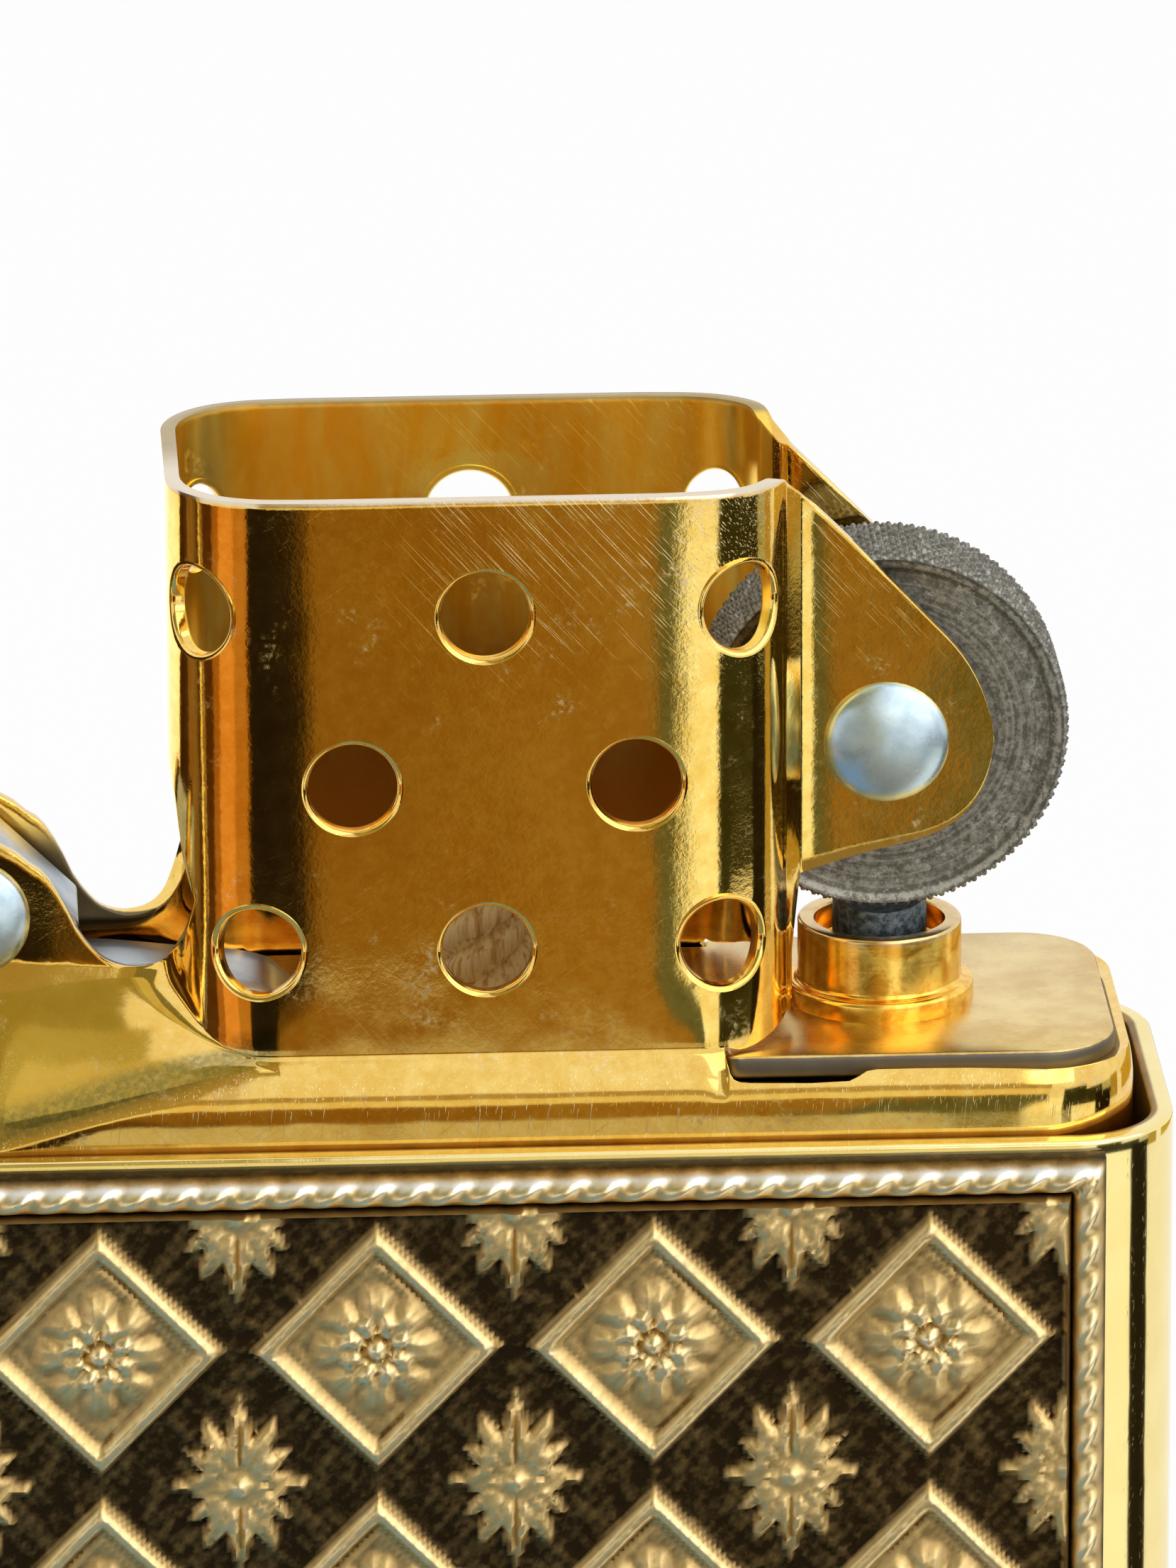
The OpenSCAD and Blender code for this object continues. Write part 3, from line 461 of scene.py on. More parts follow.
def case_gold(name, opened):
    """Polished sheet of the case or the lid: upright hairlines and light dents, rougher inside, with painted
    brown shade there.
    """
    p = Paint(name, Metallic=1.0)
    at = p.at
    if opened:
        hinge = (HINGE_X, 0, SPLIT_Z)
        at = p.node("ShaderNodeVectorMath", {"operation": "SUBTRACT"}, {0: at, 1: hinge})
        at = p.node("ShaderNodeMapping", None, {0: at, 1: hinge, 2: (0, radians(OPEN), 0)})
    x, y, z = p.split(at)
    mottle = p.grain(0.6, 3.0, 0.5)
    hair = p.grain(1.0, 2.0, 0.5, p.node("ShaderNodeMapping", None, {0: at, 3: (14.0, 14.0, 0.35)}))
    colour = p.mix(p.step(mottle, 0.25, 0.75), (0.92, 0.74, 0.31), (0.96, 0.80, 0.36))
    lines = p.streaks((0, 15, 10), 4.0, 0.035, 0.66, 0.76)
    colour = p.mix(lines * 0.3, colour, (0.99, 0.95, 0.80))
    out = p.past_corner(abs(x) - (CASE_W / 2 - EDGE_R), abs(y) - (CASE_D / 2 - EDGE_R))
    between = p.step(z, LID_Z1 - 0.40, LID_Z1 - 0.55) * p.step(z, 0.45, 0.6)
    inner = p.step(out, EDGE_R - 0.38, EDGE_R - 0.50) * between
    # Painted shade: the inside of the case and the lid is dark brown, on a rougher finish.
    brown = p.mix(p.step(mottle, 0.3, 0.7), (0.17, 0.085, 0.025), (0.34, 0.19, 0.06))
    colour = p.mix(inner * 0.9, colour, brown)
    rough = 0.045 + hair * 0.06 + mottle * 0.03 + inner * 0.35
    return p.wear(colour, rough, [(hair, 0.06, 0.01), (p.grain(0.3, 2.0), 0.08, 0.4), (lines, 0.08, 0.015)])


def bright_steel(name, colour, low, high):
    """Steel with a softly blotched skin and short scratches."""
    p = Paint(name, Metallic=1.0)
    blotch = p.grain(0.8, 5.0, 0.6, warp=0.3)
    fine = p.grain(9.0, 3.0)
    tint = tuple(c * f for c, f in zip(colour, (0.62, 0.74, 0.86)))
    tone = p.mix(p.step(blotch, 0.40, 0.66) * 0.7, colour, tint)
    lines = p.streaks((0, 70, 0), 1.2, 0.03, 0.60, 0.74)
    tone = p.mix(lines * 0.3, tone, (0.92, 0.95, 0.97))
    rough = low + fine * (high - low) + p.step(blotch, 0.45, 0.7) * 0.06
    return p.wear(tone, rough, [(blotch, 0.10, 0.06), (fine, 0.05, 0.01), (lines, 0.12, 0.01)])


def wheel_steel():
    """Hardened steel of the wheel: dark and speckled, with turning marks and whitish rubbed spots."""
    p = Paint("wheel_steel_worn", Metallic=0.85)
    speck = p.grain(5.0, 6.0, 0.75)
    pits = p.grain(13.0, 3.0, 0.6)
    across, up = p.x - WHEEL_X, p.z - WHEEL_Z
    radius = (across * across + up * up) ** 0.5
    rings = p.node("ShaderNodeTexNoise", {"noise_dimensions": "1D"},
                   {"W": radius, "Scale": 7.0, "Detail": 3.0})
    colour = p.mix(p.step(speck * 0.7 + rings * 0.3, 0.40, 0.62), (0.115, 0.11, 0.092), (0.31, 0.30, 0.255))
    rubbed = p.step(p.grain(1.9, 7.0, 0.8, warp=0.2), 0.54, 0.62) * p.step(radius, 2.8, 4.4)
    colour = p.mix(rubbed * 0.7, colour, (0.52, 0.52, 0.49))
    ring = p.step(radius, 4.86, 4.93) * p.step(radius, 5.07, 5.02)
    colour = p.mix(ring * p.step(speck, 0.35, 0.6) * 0.7, colour, (0.50, 0.50, 0.45))
    rough = 0.42 + pits * 0.2
    return p.wear(colour, rough, [(speck, 0.3, 0.05), (rings, 0.2, 0.03), (pits, 0.25, 0.02)])


def bronze():
    """Cast relief: dark in the recesses, rubbed bright on the highs, silvery along its top edge."""
    p = Paint("antique_bronze_cast", Metallic=1.0)
    height = p.node("ShaderNodeAttribute", {"attribute_name": "height"}, out=2)
    grain = p.grain(1.8, 5.0, 0.65)
    fine = p.grain(9.0, 4.0, 0.6)
    level = height + (grain - 0.5) * 0.30
    ramp = p.node("ShaderNodeValToRGB", {"stops": [
        (0.0, (0.030, 0.019, 0.008)), (0.12, (0.17, 0.112, 0.042)), (0.34, (0.50, 0.35, 0.145)),
        (0.62, (0.70, 0.52, 0.23)), (1.0, (0.95, 0.81, 0.50))]}, {0: level})
    colour = p.mix(p.step(fine, 0.6, 0.75) * 0.25, ramp, (0.06, 0.040, 0.018))
    top_edge = p.step(p.z + grain * 0.5, 36.45, 36.75) * p.step(level, 0.2, 0.6) * p.step(p.x, -18.2, -17.2)
    colour = p.mix(top_edge * 0.85, colour, (0.74, 0.78, 0.80))
    rough = 0.42 - p.step(level, 0.3, 1.0) * 0.18 + fine * 0.10
    return p.wear(colour, rough, [(fine, 0.18, 0.02), (grain, 0.15, 0.05)])


def brass():
    """Plain turned brass with fine rings."""
    p = Paint("turned_brass", Metallic=1.0)
    rings = p.grain(1.0, 2.0, 0.5, p.moved(scale=(0.5, 0.5, 12.0)))
    mottle = p.grain(2.0, 4.0)
    colour = p.mix(p.step(mottle, 0.35, 0.7), (0.46, 0.30, 0.09), (0.70, 0.50, 0.20))
    return p.wear(colour, 0.26 + rings * 0.14, [(rings, 0.15, 0.015), (mottle, 0.1, 0.04)])


def flint_metal():
    """Dull grey flint, coarse and dark."""
    p = Paint("flint_metal", Metallic=0.7)
    grain = p.grain(4.0, 6.0, 0.7)
    colour = p.mix(p.step(grain, 0.35, 0.65), (0.03, 0.04, 0.05), (0.20, 0.25, 0.29))
    return p.wear(colour, 0.38 + grain * 0.2, [(grain, 0.5, 0.06)])


def cotton():
    """Twisted wick: yellowed cotton, brown towards the charred tip."""
    p = Paint("wick_cotton_twist", Roughness=0.9, Sheen_Weight=0.2)
    fibre = p.grain(1.0, 3.0, 0.6, p.moved(turn=(0, 25, 0), scale=(5.0, 5.0, 0.5)))
    blotch = p.grain(0.9, 3.0)
    colour = p.mix(p.step(fibre, 0.30, 0.58), (0.62, 0.36, 0.10), (1.0, 0.88, 0.50))
    char = p.step(p.z + blotch * 1.6, 44.6, 46.2)
    colour = p.mix(char, colour, (0.022, 0.018, 0.015))
    return p.wear(colour, None, [(fibre, 0.7, 0.06)])


def fluff(name, pale, shade, scale):
    """Loose or pressed fibre."""
    p = Paint(name, Roughness=0.95, Sheen_Weight=0.3)
    fibre = p.grain(scale, 6.0, 0.75, warp=1.5)
    colour = p.mix(p.step(fibre, 0.3, 0.7), shade, pale)
    return p.wear(colour, None, [(fibre, 0.8, 0.1), (p.grain(scale * 4, 3.0), 0.4, 0.03)])


SHEET_GOLD = gold_sheet()
DECK_GOLD = deck_gold()
TUBE_GOLD = tube_gold()
CASE_GOLD = case_gold("case_gold_plate", False)
LID_GOLD = case_gold("lid_gold_plate", True)
RIVET_STEEL = bright_steel("rivet_steel_dented", (0.58, 0.71, 0.78), 0.22, 0.38)
LEAF_STEEL = bright_steel("spring_steel_satin", (0.50, 0.54, 0.57), 0.24, 0.42)
WHEEL_STEEL = wheel_steel()
BRONZE = bronze()
BRASS = brass()
FLINT_METAL = flint_metal()
COTTON = cotton()
WADDING = fluff("wadding_fibre", (0.88, 0.87, 0.83), (0.66, 0.64, 0.60), 2.4)
FELT = fluff("pressed_felt", (0.80, 0.76, 0.66), (0.58, 0.54, 0.45), 3.6)


# Insert shell

def front_at(z):
    """Half depth of the front sheet at a height: body, rounded shoulder, crease, chimney."""
    t = unit((z - 37.7) / 1.85)
    shoulder = INS_HALF - 0.62 * (1 - sqrt(1 - t * t))
    return smooth_high(CHIM_Y, shoulder, 0.05)


def half_depth(x, z):
    """Half depth where the sloping sheet at the cam end meets the front."""
    low = 37.4 + max(min(x, -6.9) + 14.4, 0) * SLOPE_FALL
    run = (front_at(low) - EAR_Y) / (SLOPE_Z1 - low)
    rise = (SLOPE_Z1 - z) * run
    slope = EAR_Y + smooth_high(rise, 0, 0.25)
    return smooth_low(slope, front_at(z), 0.35)


def spread(a, b, n):
    """The ends of n even steps from a to b."""
    return [a + (b - a) * i / n for i in range(n + 1)]


EAR_COLS = [-17.5, -17.46, -17.32, -17.1, -16.75, -16.3, -15.75, -15.2, -14.7, -14.25, -13.85,
            -13.5, -13.2, -12.95, -12.7, -12.45, -12.2, -11.95, -11.75, -11.55, -11.35, -11.1, -10.85, -10.6]
CAM_EDGE = [(-13.3, 44.45), (-12.97, 44.12), (-12.53, 43.38), (-12.18, 42.6), (-11.71, 41.95),
            (-11.38, 41.68), (-10.77, 41.5), (-10.3, 41.5), (-9.96, 41.6), (-9.6, 41.9), (-9.38, 42.3),
            (-9.1, 43.0), (-8.83, 43.9)]
ANCHOR_Z = 40.5
LOW_ROWS = ([0.8, 9.0, 18.0, 27.0, 35.0, 36.4, 36.9, 37.1, SLOPE_Z0] + spread(37.45, 39.3, 18)
            + spread(39.37, CREASE_Z, 3) + spread(39.61, 39.79, 3) + [39.95, 40.1, 40.3, ANCHOR_Z]
            + spread(40.75, SLIT_Z, 12))
HIGH_ROWS = spread(SLIT_Z, 50.0, 13)[1:] + spread(50.4, 55.3, 10) + [55.5, 55.7, CHIM_TOP]
ROWS = LOW_ROWS + HIGH_ROWS
R_SLOPE, R_SLIT = ROWS.index(SLOPE_Z0), len(LOW_ROWS) - 1
R_CREASE = min(range(len(ROWS)), key=lambda i: abs(ROWS[i] - CREASE_Z))
R_ANCHOR = ROWS.index(ANCHOR_Z)
R_DECK = min(range(len(ROWS)), key=lambda i: abs(ROWS[i] - 38.2))
END_COLS, CORNER_COLS, FILLET_COLS, PART_COLS = 3, 7, 10, 5


def fillet(z):
    """Radius of the hollow between the sloping sheet and the chimney."""
    t = unit((z - 39.4) / 1.8)
    swell = max(0, 1 - ((z - 40.75) / 1.15) ** 2) ** 2
    return 0.7 + 0.8 * t * t * (3 - 2 * t) + 0.75 * swell


def left_corner(z):
    """Where the sloping sheet's fillet starts, its centre, and the angle at which it meets the corner."""
    radius = CH_R0 + front_at(z) - CHIM_Y
    f = fillet(z)
    xf = -9.9
    for _ in range(6):
        w = half_depth(xf, z)
        span = (radius + f) ** 2 - (w + f - CH_CY0) ** 2
        xf = CH_CX0 - sqrt(max(span, 1e-6))
    meet = degrees(atan2(w + f - CH_CY0, CH_CX0 - xf))
    return w, xf, f, meet


MEET = left_corner(SLIT_Z)[3]
SLIT_TURN = 39
ARC_SHARE = (SLIT_TURN - MEET) / (90 - MEET)


def corner_point(z, turn):
    """A point of the chimney's left corner; turn is 0 at the side, 90 at the front."""
    radius = CH_R0 + front_at(z) - CHIM_Y
    a = radians(turn)
    return CH_CX0 - radius * cos(a), CH_CY0 + radius * sin(a)


def top_column(i):
    """Where a column right of the cam ear ends, along x, at the slot's height."""
    xf, f, meet = left_corner(SLIT_Z)[1:]
    if i <= FILLET_COLS:
        return xf + f * cos(radians(-90 + (90 - meet) * i / FILLET_COLS))
    return corner_point(SLIT_Z, meet + (90 - meet) * ARC_SHARE * (i - FILLET_COLS) / PART_COLS)[0]


def cam_edge(x):
    """Height of the cam ear's edge and of the scallop beside it."""
    if x < CAM_EDGE[0][0]:
        return CAM_Z + sqrt(max(CAM_EAR_R**2 - (x - CAM_X) ** 2, 0))
    return through(CAM_EDGE, x)


# Rounding of the ear's outer edge, which keeps it clear of the lid's hinge leaf when the lid is shut
EAR_ROUND = 0.45


def low_left(i, j):
    """The end wall, the sloping sheet with the cam ear, and the fillet into the chimney."""
    n_line = len(EAR_COLS)
    k_line = END_COLS + CORNER_COLS
    k_fil = k_line + n_line - 1
    k_arc = k_fil + FILLET_COLS
    if i < END_COLS:
        top = SLOPE_Z1
    elif i < k_line:
        top = SLOPE_Z1 + 0.05
    elif i <= k_fil:
        top = cam_edge(EAR_COLS[i - k_line])
    elif i < k_arc + PART_COLS:
        top = cam_edge(top_column(i - k_fil))
    else:
        top = SLIT_Z
    z = ROWS[j]
    if j > R_ANCHOR:
        z = ANCHOR_Z + (z - ANCHOR_Z) * (top - ANCHOR_Z) / (SLIT_Z - ANCHOR_Z)
    w, xf, f, meet = left_corner(z)
    w0 = half_depth(INS_X0, z)
    rc = EAR_ROUND + (w0 - EAR_Y) * (INS_R - EAR_ROUND) / (INS_HALF - EAR_Y)
    if i < END_COLS:
        return INS_X0, -(END_HALF + (w0 - rc - END_HALF) * i / END_COLS), z
    if i < k_line:
        a = radians(90 * (i - END_COLS) / CORNER_COLS)
        return INS_X0 + rc * (1 - cos(a)), -(w0 - rc + rc * sin(a)), z
    start = INS_X0 + rc
    if i <= k_fil:
        x = EAR_COLS[i - k_line]
        x += (start - EAR_COLS[0]) * unit((-14.5 - x) / 3.0)
        x += (xf - EAR_COLS[-1]) * unit((x + 14) / (EAR_COLS[-1] + 14))
        turn_in = 0.026 * max(0, -13.0 - x) * unit((z - 41.3) / 0.8)
        return x, turn_in - half_depth(x, z), z
    if i <= k_arc:
        a = radians(-90 + (90 - meet) * (i - k_fil) / FILLET_COLS)
        return xf + f * cos(a), -(w + f + f * sin(a)), z
    x, d = corner_point(z, meet + (90 - meet) * ARC_SHARE * (i - k_arc) / PART_COLS)
    return x, -(d - drawn_in(x, z) * (i - k_arc) / PART_COLS), z


WALL_TURNS = [0, 4, 9, 14, 19, 24, 29, 34, SLIT_TURN]
WALL_FOOT = [(-2.2, 47.75), (0, 47.6), (10, 47.35), (17, 46.85), (22, 46.1), (27, 45.2), (31, 44.7),
             (35, 44.3), (39, SLIT_Z)]


def high_left(i, j):
    """The rest of the chimney's left corner and its end wall, above the slot."""
    if i < 4:
        turn, d, x = -2.2 * (4 - i) / 4, CH_CY0 * i / 4, CH_X0
    else:
        turn = WALL_TURNS[i - 4]
        x, d = corner_point(50, turn)
        d -= ease(x)
    foot = through(WALL_FOOT, turn)
    z = ROWS[R_SLIT + j]
    if z < 50.5:
        z = foot + (z - SLIT_Z) * (50.5 - foot) / (50.5 - SLIT_Z)
    return x, -d, z


# How far the chimney's front draws in before and round its corners
EASE_RIGHT = [(3.7, 0), (4.4, 0.014), (4.9, 0.045), (5.4, 0.085), (5.9, 0.110), (6.7, 0.08), (7.7, 0)]
EASE_LEFT = [(5.0, 0), (5.7, 0.014), (6.5, 0.060), (7.3, 0.085), (8.2, 0.05), (9.1, 0)]


def ease(x):
    """How far the front draws in at x."""
    return through(EASE_RIGHT, x) if x > 0 else through(EASE_LEFT, -x)


def drawn_in(x, z):
    """The same at a height: it fades out towards the foot."""
    return ease(x) * unit((z - 39.8) / 2)


ARC_STEPS = 16
FLAT_COLS = spread(CH_CX0, CH_CX1, 34)[1:]


def middle(i, j):
    """The chimney's front with part of its left corner, down to the body's foot."""
    z = ROWS[j]
    if i <= ARC_STEPS:
        meet = left_corner(z)[3] if j <= R_SLIT else MEET
        start = meet + (90 - meet) * ARC_SHARE
        x, d = corner_point(z, start + (90 - start) * i / ARC_STEPS)
        d = min(d, front_at(z))
    else:
        x, d = FLAT_COLS[i - ARC_STEPS - 1], front_at(z)
    return x, -(d - drawn_in(x, z)), z


# The right corner is an arc, then flares out and runs straight to a tight fold into the wheel's ear
ARC_TURN, END_TURN, ARC_COLS, JOINED = 76, 86, 15, 3
FLARE, FLARE_COLS, RUN_TURN, RUN, RUN_COLS = 0.3, 4, 47, 0.584, 2
FOLD, FOLD_END = 0.10, 10
RIGHT_STEPS = ARC_COLS + FLARE_COLS + RUN_COLS
EDGE_FOOT = [(15.4, CREASE_Z), (19, 39.52), (26, 39.43), (40, 39.5), (60, 39.72), (90, 39.95)]
EDGE_HEAD = [(0, CHIM_TOP), (45, CHIM_TOP), (62, 55.9), (72, 55.82), (76, 55.75), (82.7, 55.62),
             (84.3, 55.41), (86, 55.2)]


def right_turn(i):
    """The turn of a column of the right corner, in degrees from the front."""
    if i <= ARC_COLS:
        return ARC_TURN * i / ARC_COLS
    return ARC_TURN + (END_TURN - ARC_TURN) * (i - ARC_COLS) / (RIGHT_STEPS - ARC_COLS)


def bend(x, d, radius, start, end):
    """Where a hollow bend from one turn to another ends."""
    start, end = radians(start), radians(end)
    return x + radius * (sin(start) - sin(end)), d + radius * (cos(start) - cos(end))


def right_wall(i, radius, z):
    """A point round the right corner; low down it bends on instead of flaring out."""
    turn = radians(right_turn(i))
    x, d = CH_CX1 + radius * sin(turn), CH_CY1 + radius * cos(turn)
    if i <= ARC_COLS:
        return x, d
    last = radians(ARC_TURN)
    part = min(i - ARC_COLS, FLARE_COLS) / FLARE_COLS
    out_x, out_d = bend(CH_CX1 + radius * sin(last), CH_CY1 + radius * cos(last), FLARE,
                        ARC_TURN, ARC_TURN + (RUN_TURN - ARC_TURN) * part)
    run = RUN * max(i - ARC_COLS - FLARE_COLS, 0) / RUN_COLS
    out_x += run * cos(radians(RUN_TURN))
    out_d -= run * sin(radians(RUN_TURN))
    share = 0.4 + 0.6 * unit((z - 41.6) / 2.3)
    return x + share * (out_x - x), d + share * (out_d - d)


JOINED_COLS = [CH_CX1 + CH_R1 * sin(radians(right_turn(i))) for i in range(JOINED + 1)]
SKIRT_COLS = JOINED_COLS + [6.15, 6.22, 6.33, 6.5, 6.8, 7.6, 8.5, 9.6, 9.85, 10.1, 10.4, 11.5, 13.0,
                            14.2, 15.2]
SKIRT_TURN, SKIRT_SIDE = 12, 4
SKIRT_TOP = [(JOINED_COLS[-1], CREASE_Z), (6.15, 39.2), (6.22, 38.92), (6.33, 38.76), (6.5, 38.69),
             (6.8, 38.66), (9.6, 38.66), (10.1, 38.93), (10.4, 38.97), (13.0, 38.96), (15.2, 38.88)]


def skirt(i, j):
    """The shoulder under the deck's edge, round the wheel end."""
    n = len(SKIRT_COLS)
    top = CREASE_Z if i <= JOINED else through(SKIRT_TOP, SKIRT_COLS[min(i, n - 1)])
    z = ROWS[j]
    share = max(0, (z - ROWS[R_DECK]) / (ROWS[R_CREASE] - ROWS[R_DECK]))
    if j > R_DECK:
        z = ROWS[R_DECK] + share * (top - ROWS[R_DECK])
    inset = INS_HALF - front_at(z)
    if i <= JOINED:
        drop = front_at(CREASE_Z) + right_corner(i, 0)[1]
        return SKIRT_COLS[i], -(INS_HALF - inset - drop * share), z
    if i < n:
        return SKIRT_COLS[i], -(INS_HALF - inset), z
    past = i - n + 1
    a = radians(min(past / SKIRT_TURN, 1) * 90)
    r = INS_R - inset
    if past <= SKIRT_TURN:
        return INS_X1 - INS_R + r * sin(a), -(INS_HALF - INS_R + r * cos(a)), z
    return INS_X1 - inset, -(INS_HALF - INS_R) * (1 - (past - SKIRT_TURN) / SKIRT_SIDE), z


def right_corner(i, j):
    """The chimney's right corner above the deck; its lower edge is free."""
    turn = right_turn(i)
    foot = CREASE_Z if i <= JOINED else through(EDGE_FOOT, turn)
    head = through(EDGE_HEAD, turn)
    z = ROWS[R_CREASE + j]
    if z < 41.5:
        z = foot + (z - ROWS[R_CREASE]) * (41.5 - foot) / (41.5 - ROWS[R_CREASE])
    if z > 54:
        z = 54 + (z - 54) * (head - 54) / (CHIM_TOP - 54)
    x, d = right_wall(i, CH_R1 + front_at(max(z, CREASE_Z)) - CHIM_Y, z)
    return x, -(d - drawn_in(x, z)), z


def right_edge(i, j):
    """The corner's last strip below the wheel ears."""
    x, y, z = right_corner(RIGHT_STEPS, j)
    return x + (0, 0.02, 0.02, 0)[i], y + (0, 0.22, 0.47, 0.75)[i], z


EAR_TOP = [(8.39, 55.2), (8.45, 55.12), (8.6, 54.96), (9.5, 54.06), (11.0, 52.5), (12.2, 51.22),
           (12.7, 50.68), (13.1, 50.15), (13.45, 49.5), (13.7, 48.85), (13.86, 48.2), (13.9, 47.8)]
EAR_LOW = [(8.39, SLIT_Z), (8.6, 43.96), (10.0, 44.4), (11.6, 44.8), (12.2, 45.0), (12.7, 45.28),
           (13.1, 45.62), (13.45, 46.1), (13.7, 46.7), (13.86, 47.35), (13.9, 47.8)]
WHEEL_EAR_COLS = [8.50, 8.57, 8.64, 8.72, 8.82, 8.95, 9.1, 9.25, 9.45, 9.7, 10.0, 10.4, 10.8, 11.3,
                  11.7, 12.0, 12.3, 12.55, 12.8, 13.0, 13.2, 13.38, 13.53, 13.66, 13.76, 13.84, 13.885, 13.9]
FOLD_TAIL = [(8.448, 0.040), (8.50, 0.0318), (8.57, 0.0222), (8.64, 0.0145), (8.72, 0.0088), (8.82, 0.0045),
             (8.95, 0.0012), (9.1, -0.0006), (9.25, -0.0009), (9.45, 0.0), (13.9, 0.064)]


def wheel_ear(i, j):
    """The fold beside the chimney and the ear that carries the wheel."""
    if i <= 5:
        x, d = right_wall(RIGHT_STEPS, CH_R1, ROWS[R_SLIT])
        x, d = bend(x, d, FOLD, RUN_TURN, RUN_TURN + (FOLD_END - RUN_TURN) * i / 5)
    else:
        x = WHEEL_EAR_COLS[i - 6]
        d = EAR_Y + through(FOLD_TAIL, x)
    span = CHIM_TOP - ROWS[R_SLIT]
    share = (ROWS[R_SLIT + j] - ROWS[R_SLIT]) / span
    if i == 0:
        z = right_corner(RIGHT_STEPS, R_SLIT - R_CREASE + j)[2]
        return x, -d, z
    low, top = through(EAR_LOW, x), through(EAR_TOP, x)
    return x, -d, low + (top - low) * share


def vent_wall(side, s, n):
    """A point of the chimney's wall: s runs round the corner from where the flat front ends, n outwards."""
    cx, cy, r = (CH_CX0, CH_CY0, CH_R0) if side < 0 else (CH_CX1, CH_CY1, CH_R1)
    if s <= 0:
        return cx + side * s, cy + r + n
    a = s / r
    if a > pi / 2:
        return cx + side * (r + n), cy - (s - r * pi / 2)
    return cx + side * (r + n) * sin(a), cy + (r + n) * cos(a)


VENTS = [(-1, CH_CX0 + 0.62, 13.3), (-1, CH_CX0 + 4.38, 8.3), (-1, CH_CX0 - 3.62, 8.3),
         (-1, CH_CX0 + 0.62, 3.45), (-1, radians(50) * CH_R0, 13.3),
         (-1, radians(12) * CH_R0, 3.45), (1, radians(31) * CH_R1, 13.3),
         (1, radians(16) * CH_R1, 3.45)]


def on_wall(verts, vent, back):
    """Lays points of (along, up, out) round a vent on the chimney's wall."""
    side, s, up = vent
    for v in verts:
        x, d = vent_wall(side, s + v.co.x * side, v.co.z)
        v.co = Vector((x, d if back else -d, DECK_Z + up + v.co.y))


def vent_cutters():
    """Rods that cut the vents out of both long walls."""
    bm = bmesh.new()
    for vent in VENTS:
        for back in (False, True):
            made = bmesh.ops.create_cone(bm, cap_ends=True, cap_tris=True, segments=56,
                                         radius1=VENT_R + LIP - 0.02, radius2=VENT_R + LIP - 0.02, depth=1.8)
            on_wall(made["verts"], vent, back)
    outwards(bm)
    return bm


def vent_lips():
    """The rounded, punched-in lip of each vent."""
    bm = bmesh.new()
    for vent in VENTS:
        for back in (False, True):
            before = set(bm.verts)
            curl = [(VENT_R + LIP * (1 - sin(radians(a))),
                     -LIP * (1 - cos(radians(a)))) for a in range(0, 91, 15)]
            profile = curl + [(VENT_R, -SHEET), (VENT_R + 0.05, -SHEET - 0.05), (VENT_R + LIP, -SHEET - 0.05),
                              (VENT_R + LIP, 0.0)]
            turned(bm, profile, 56)
            new = [v for v in bm.verts if v not in before]
            on_wall(new, vent, back)
    return clean(bm, 0.002)


def insert_shell():
    """One sheet: the front half in strips that share their edges, mirrored, thickened and pierced."""
    bm = bmesh.new()
    rows = len(ROWS)
    n_left = END_COLS + CORNER_COLS + len(EAR_COLS) - 1 + FILLET_COLS + PART_COLS + 1
    pressed(bm, n_left, R_SLIT + 1, low_left)
    pressed(bm, 4 + len(WALL_TURNS), rows - R_SLIT, high_left)
    pressed(bm, ARC_STEPS + 1 + len(FLAT_COLS), rows, middle)
    pressed(bm, len(SKIRT_COLS) + SKIRT_TURN + SKIRT_SIDE, R_CREASE + 1, skirt)
    pressed(bm, RIGHT_STEPS + 1, rows - R_CREASE, right_corner)
    pressed(bm, 4, R_SLIT - R_CREASE + 1, right_edge)
    pressed(bm, 6 + len(WHEEL_EAR_COLS), rows - R_SLIT, wheel_ear)
    pressed(bm, 3, R_SLOPE + 1, lambda i, j: (INS_X0, -END_HALF * (1 - i / 2), ROWS[j]))
    bmesh.ops.remove_doubles(bm, verts=bm.verts, dist=0.004)
    half = bm.verts[:] + bm.edges[:] + bm.faces[:]
    bmesh.ops.mirror(bm, geom=half, axis="Y", merge_dist=0.0, mirror_u=False)
    clean(bm, 0.005)
    front = min(bm.faces, key=lambda f: (f.calc_center_median() - Vector((0, -CHIM_Y, 48))).length)
    if front.normal.y > 0:
        bmesh.ops.reverse_faces(bm, faces=bm.faces)
    shell = place("insert_shell_sheet", bm, SHEET_GOLD, "lighter", ["insert_shell"],
                  [thick(SHEET), rounded(0.06, 2, 50)], cutter=vent_cutters())
    weld_pinholes(shell)
    place("vent_lips", vent_lips(), SHEET_GOLD, "lighter")


insert_shell()


# Deck, flint tube and what is in it

def deck_plate():
    bm = bmesh.new()
    half = [(-17.1, 3.3), (-9.3, 3.3), (-7.9, 4.6), (6.12, 4.6), (6.12, 5.33), (17.35, 5.33)]
    outline = [(x, -y) for x, y in half] + [(x, y) for x, y in reversed(half)]
    slab(bm, outline, DECK_Z - DECK_T, DECK_Z + 0.12, [([5, 6], 2.25), ([4, 7], 0.4)])
    place("deck_plate", bm, DECK_GOLD, "lighter", ["insert_deck"], [rounded(0.14, 3, 40)])


def flint_tube():
    bm = bmesh.new()
    profile = ([(1.4, 3.05), (2.35, 3.05), (2.35, 38.6), (2.7, DECK_Z)]
               + soft_corner(2.54, DECK_Z + 0.54, 0.16, 0, 90)
               + soft_corner(2.5, DECK_Z + 0.85, 0.15, 270, 180)
               + soft_corner(2.24, 41.59, 0.11, 0, 90) + soft_corner(1.97, 41.59, 0.11, 90, 180)
               + [(1.86, 40.9), (1.4, 40.7), (1.4, 3.05)])
    turned(bm, profile, 72, WHEEL_X)
    place("flint_tube_turned", clean(bm, 0.002), TUBE_GOLD, "lighter", ["flint_tube"])


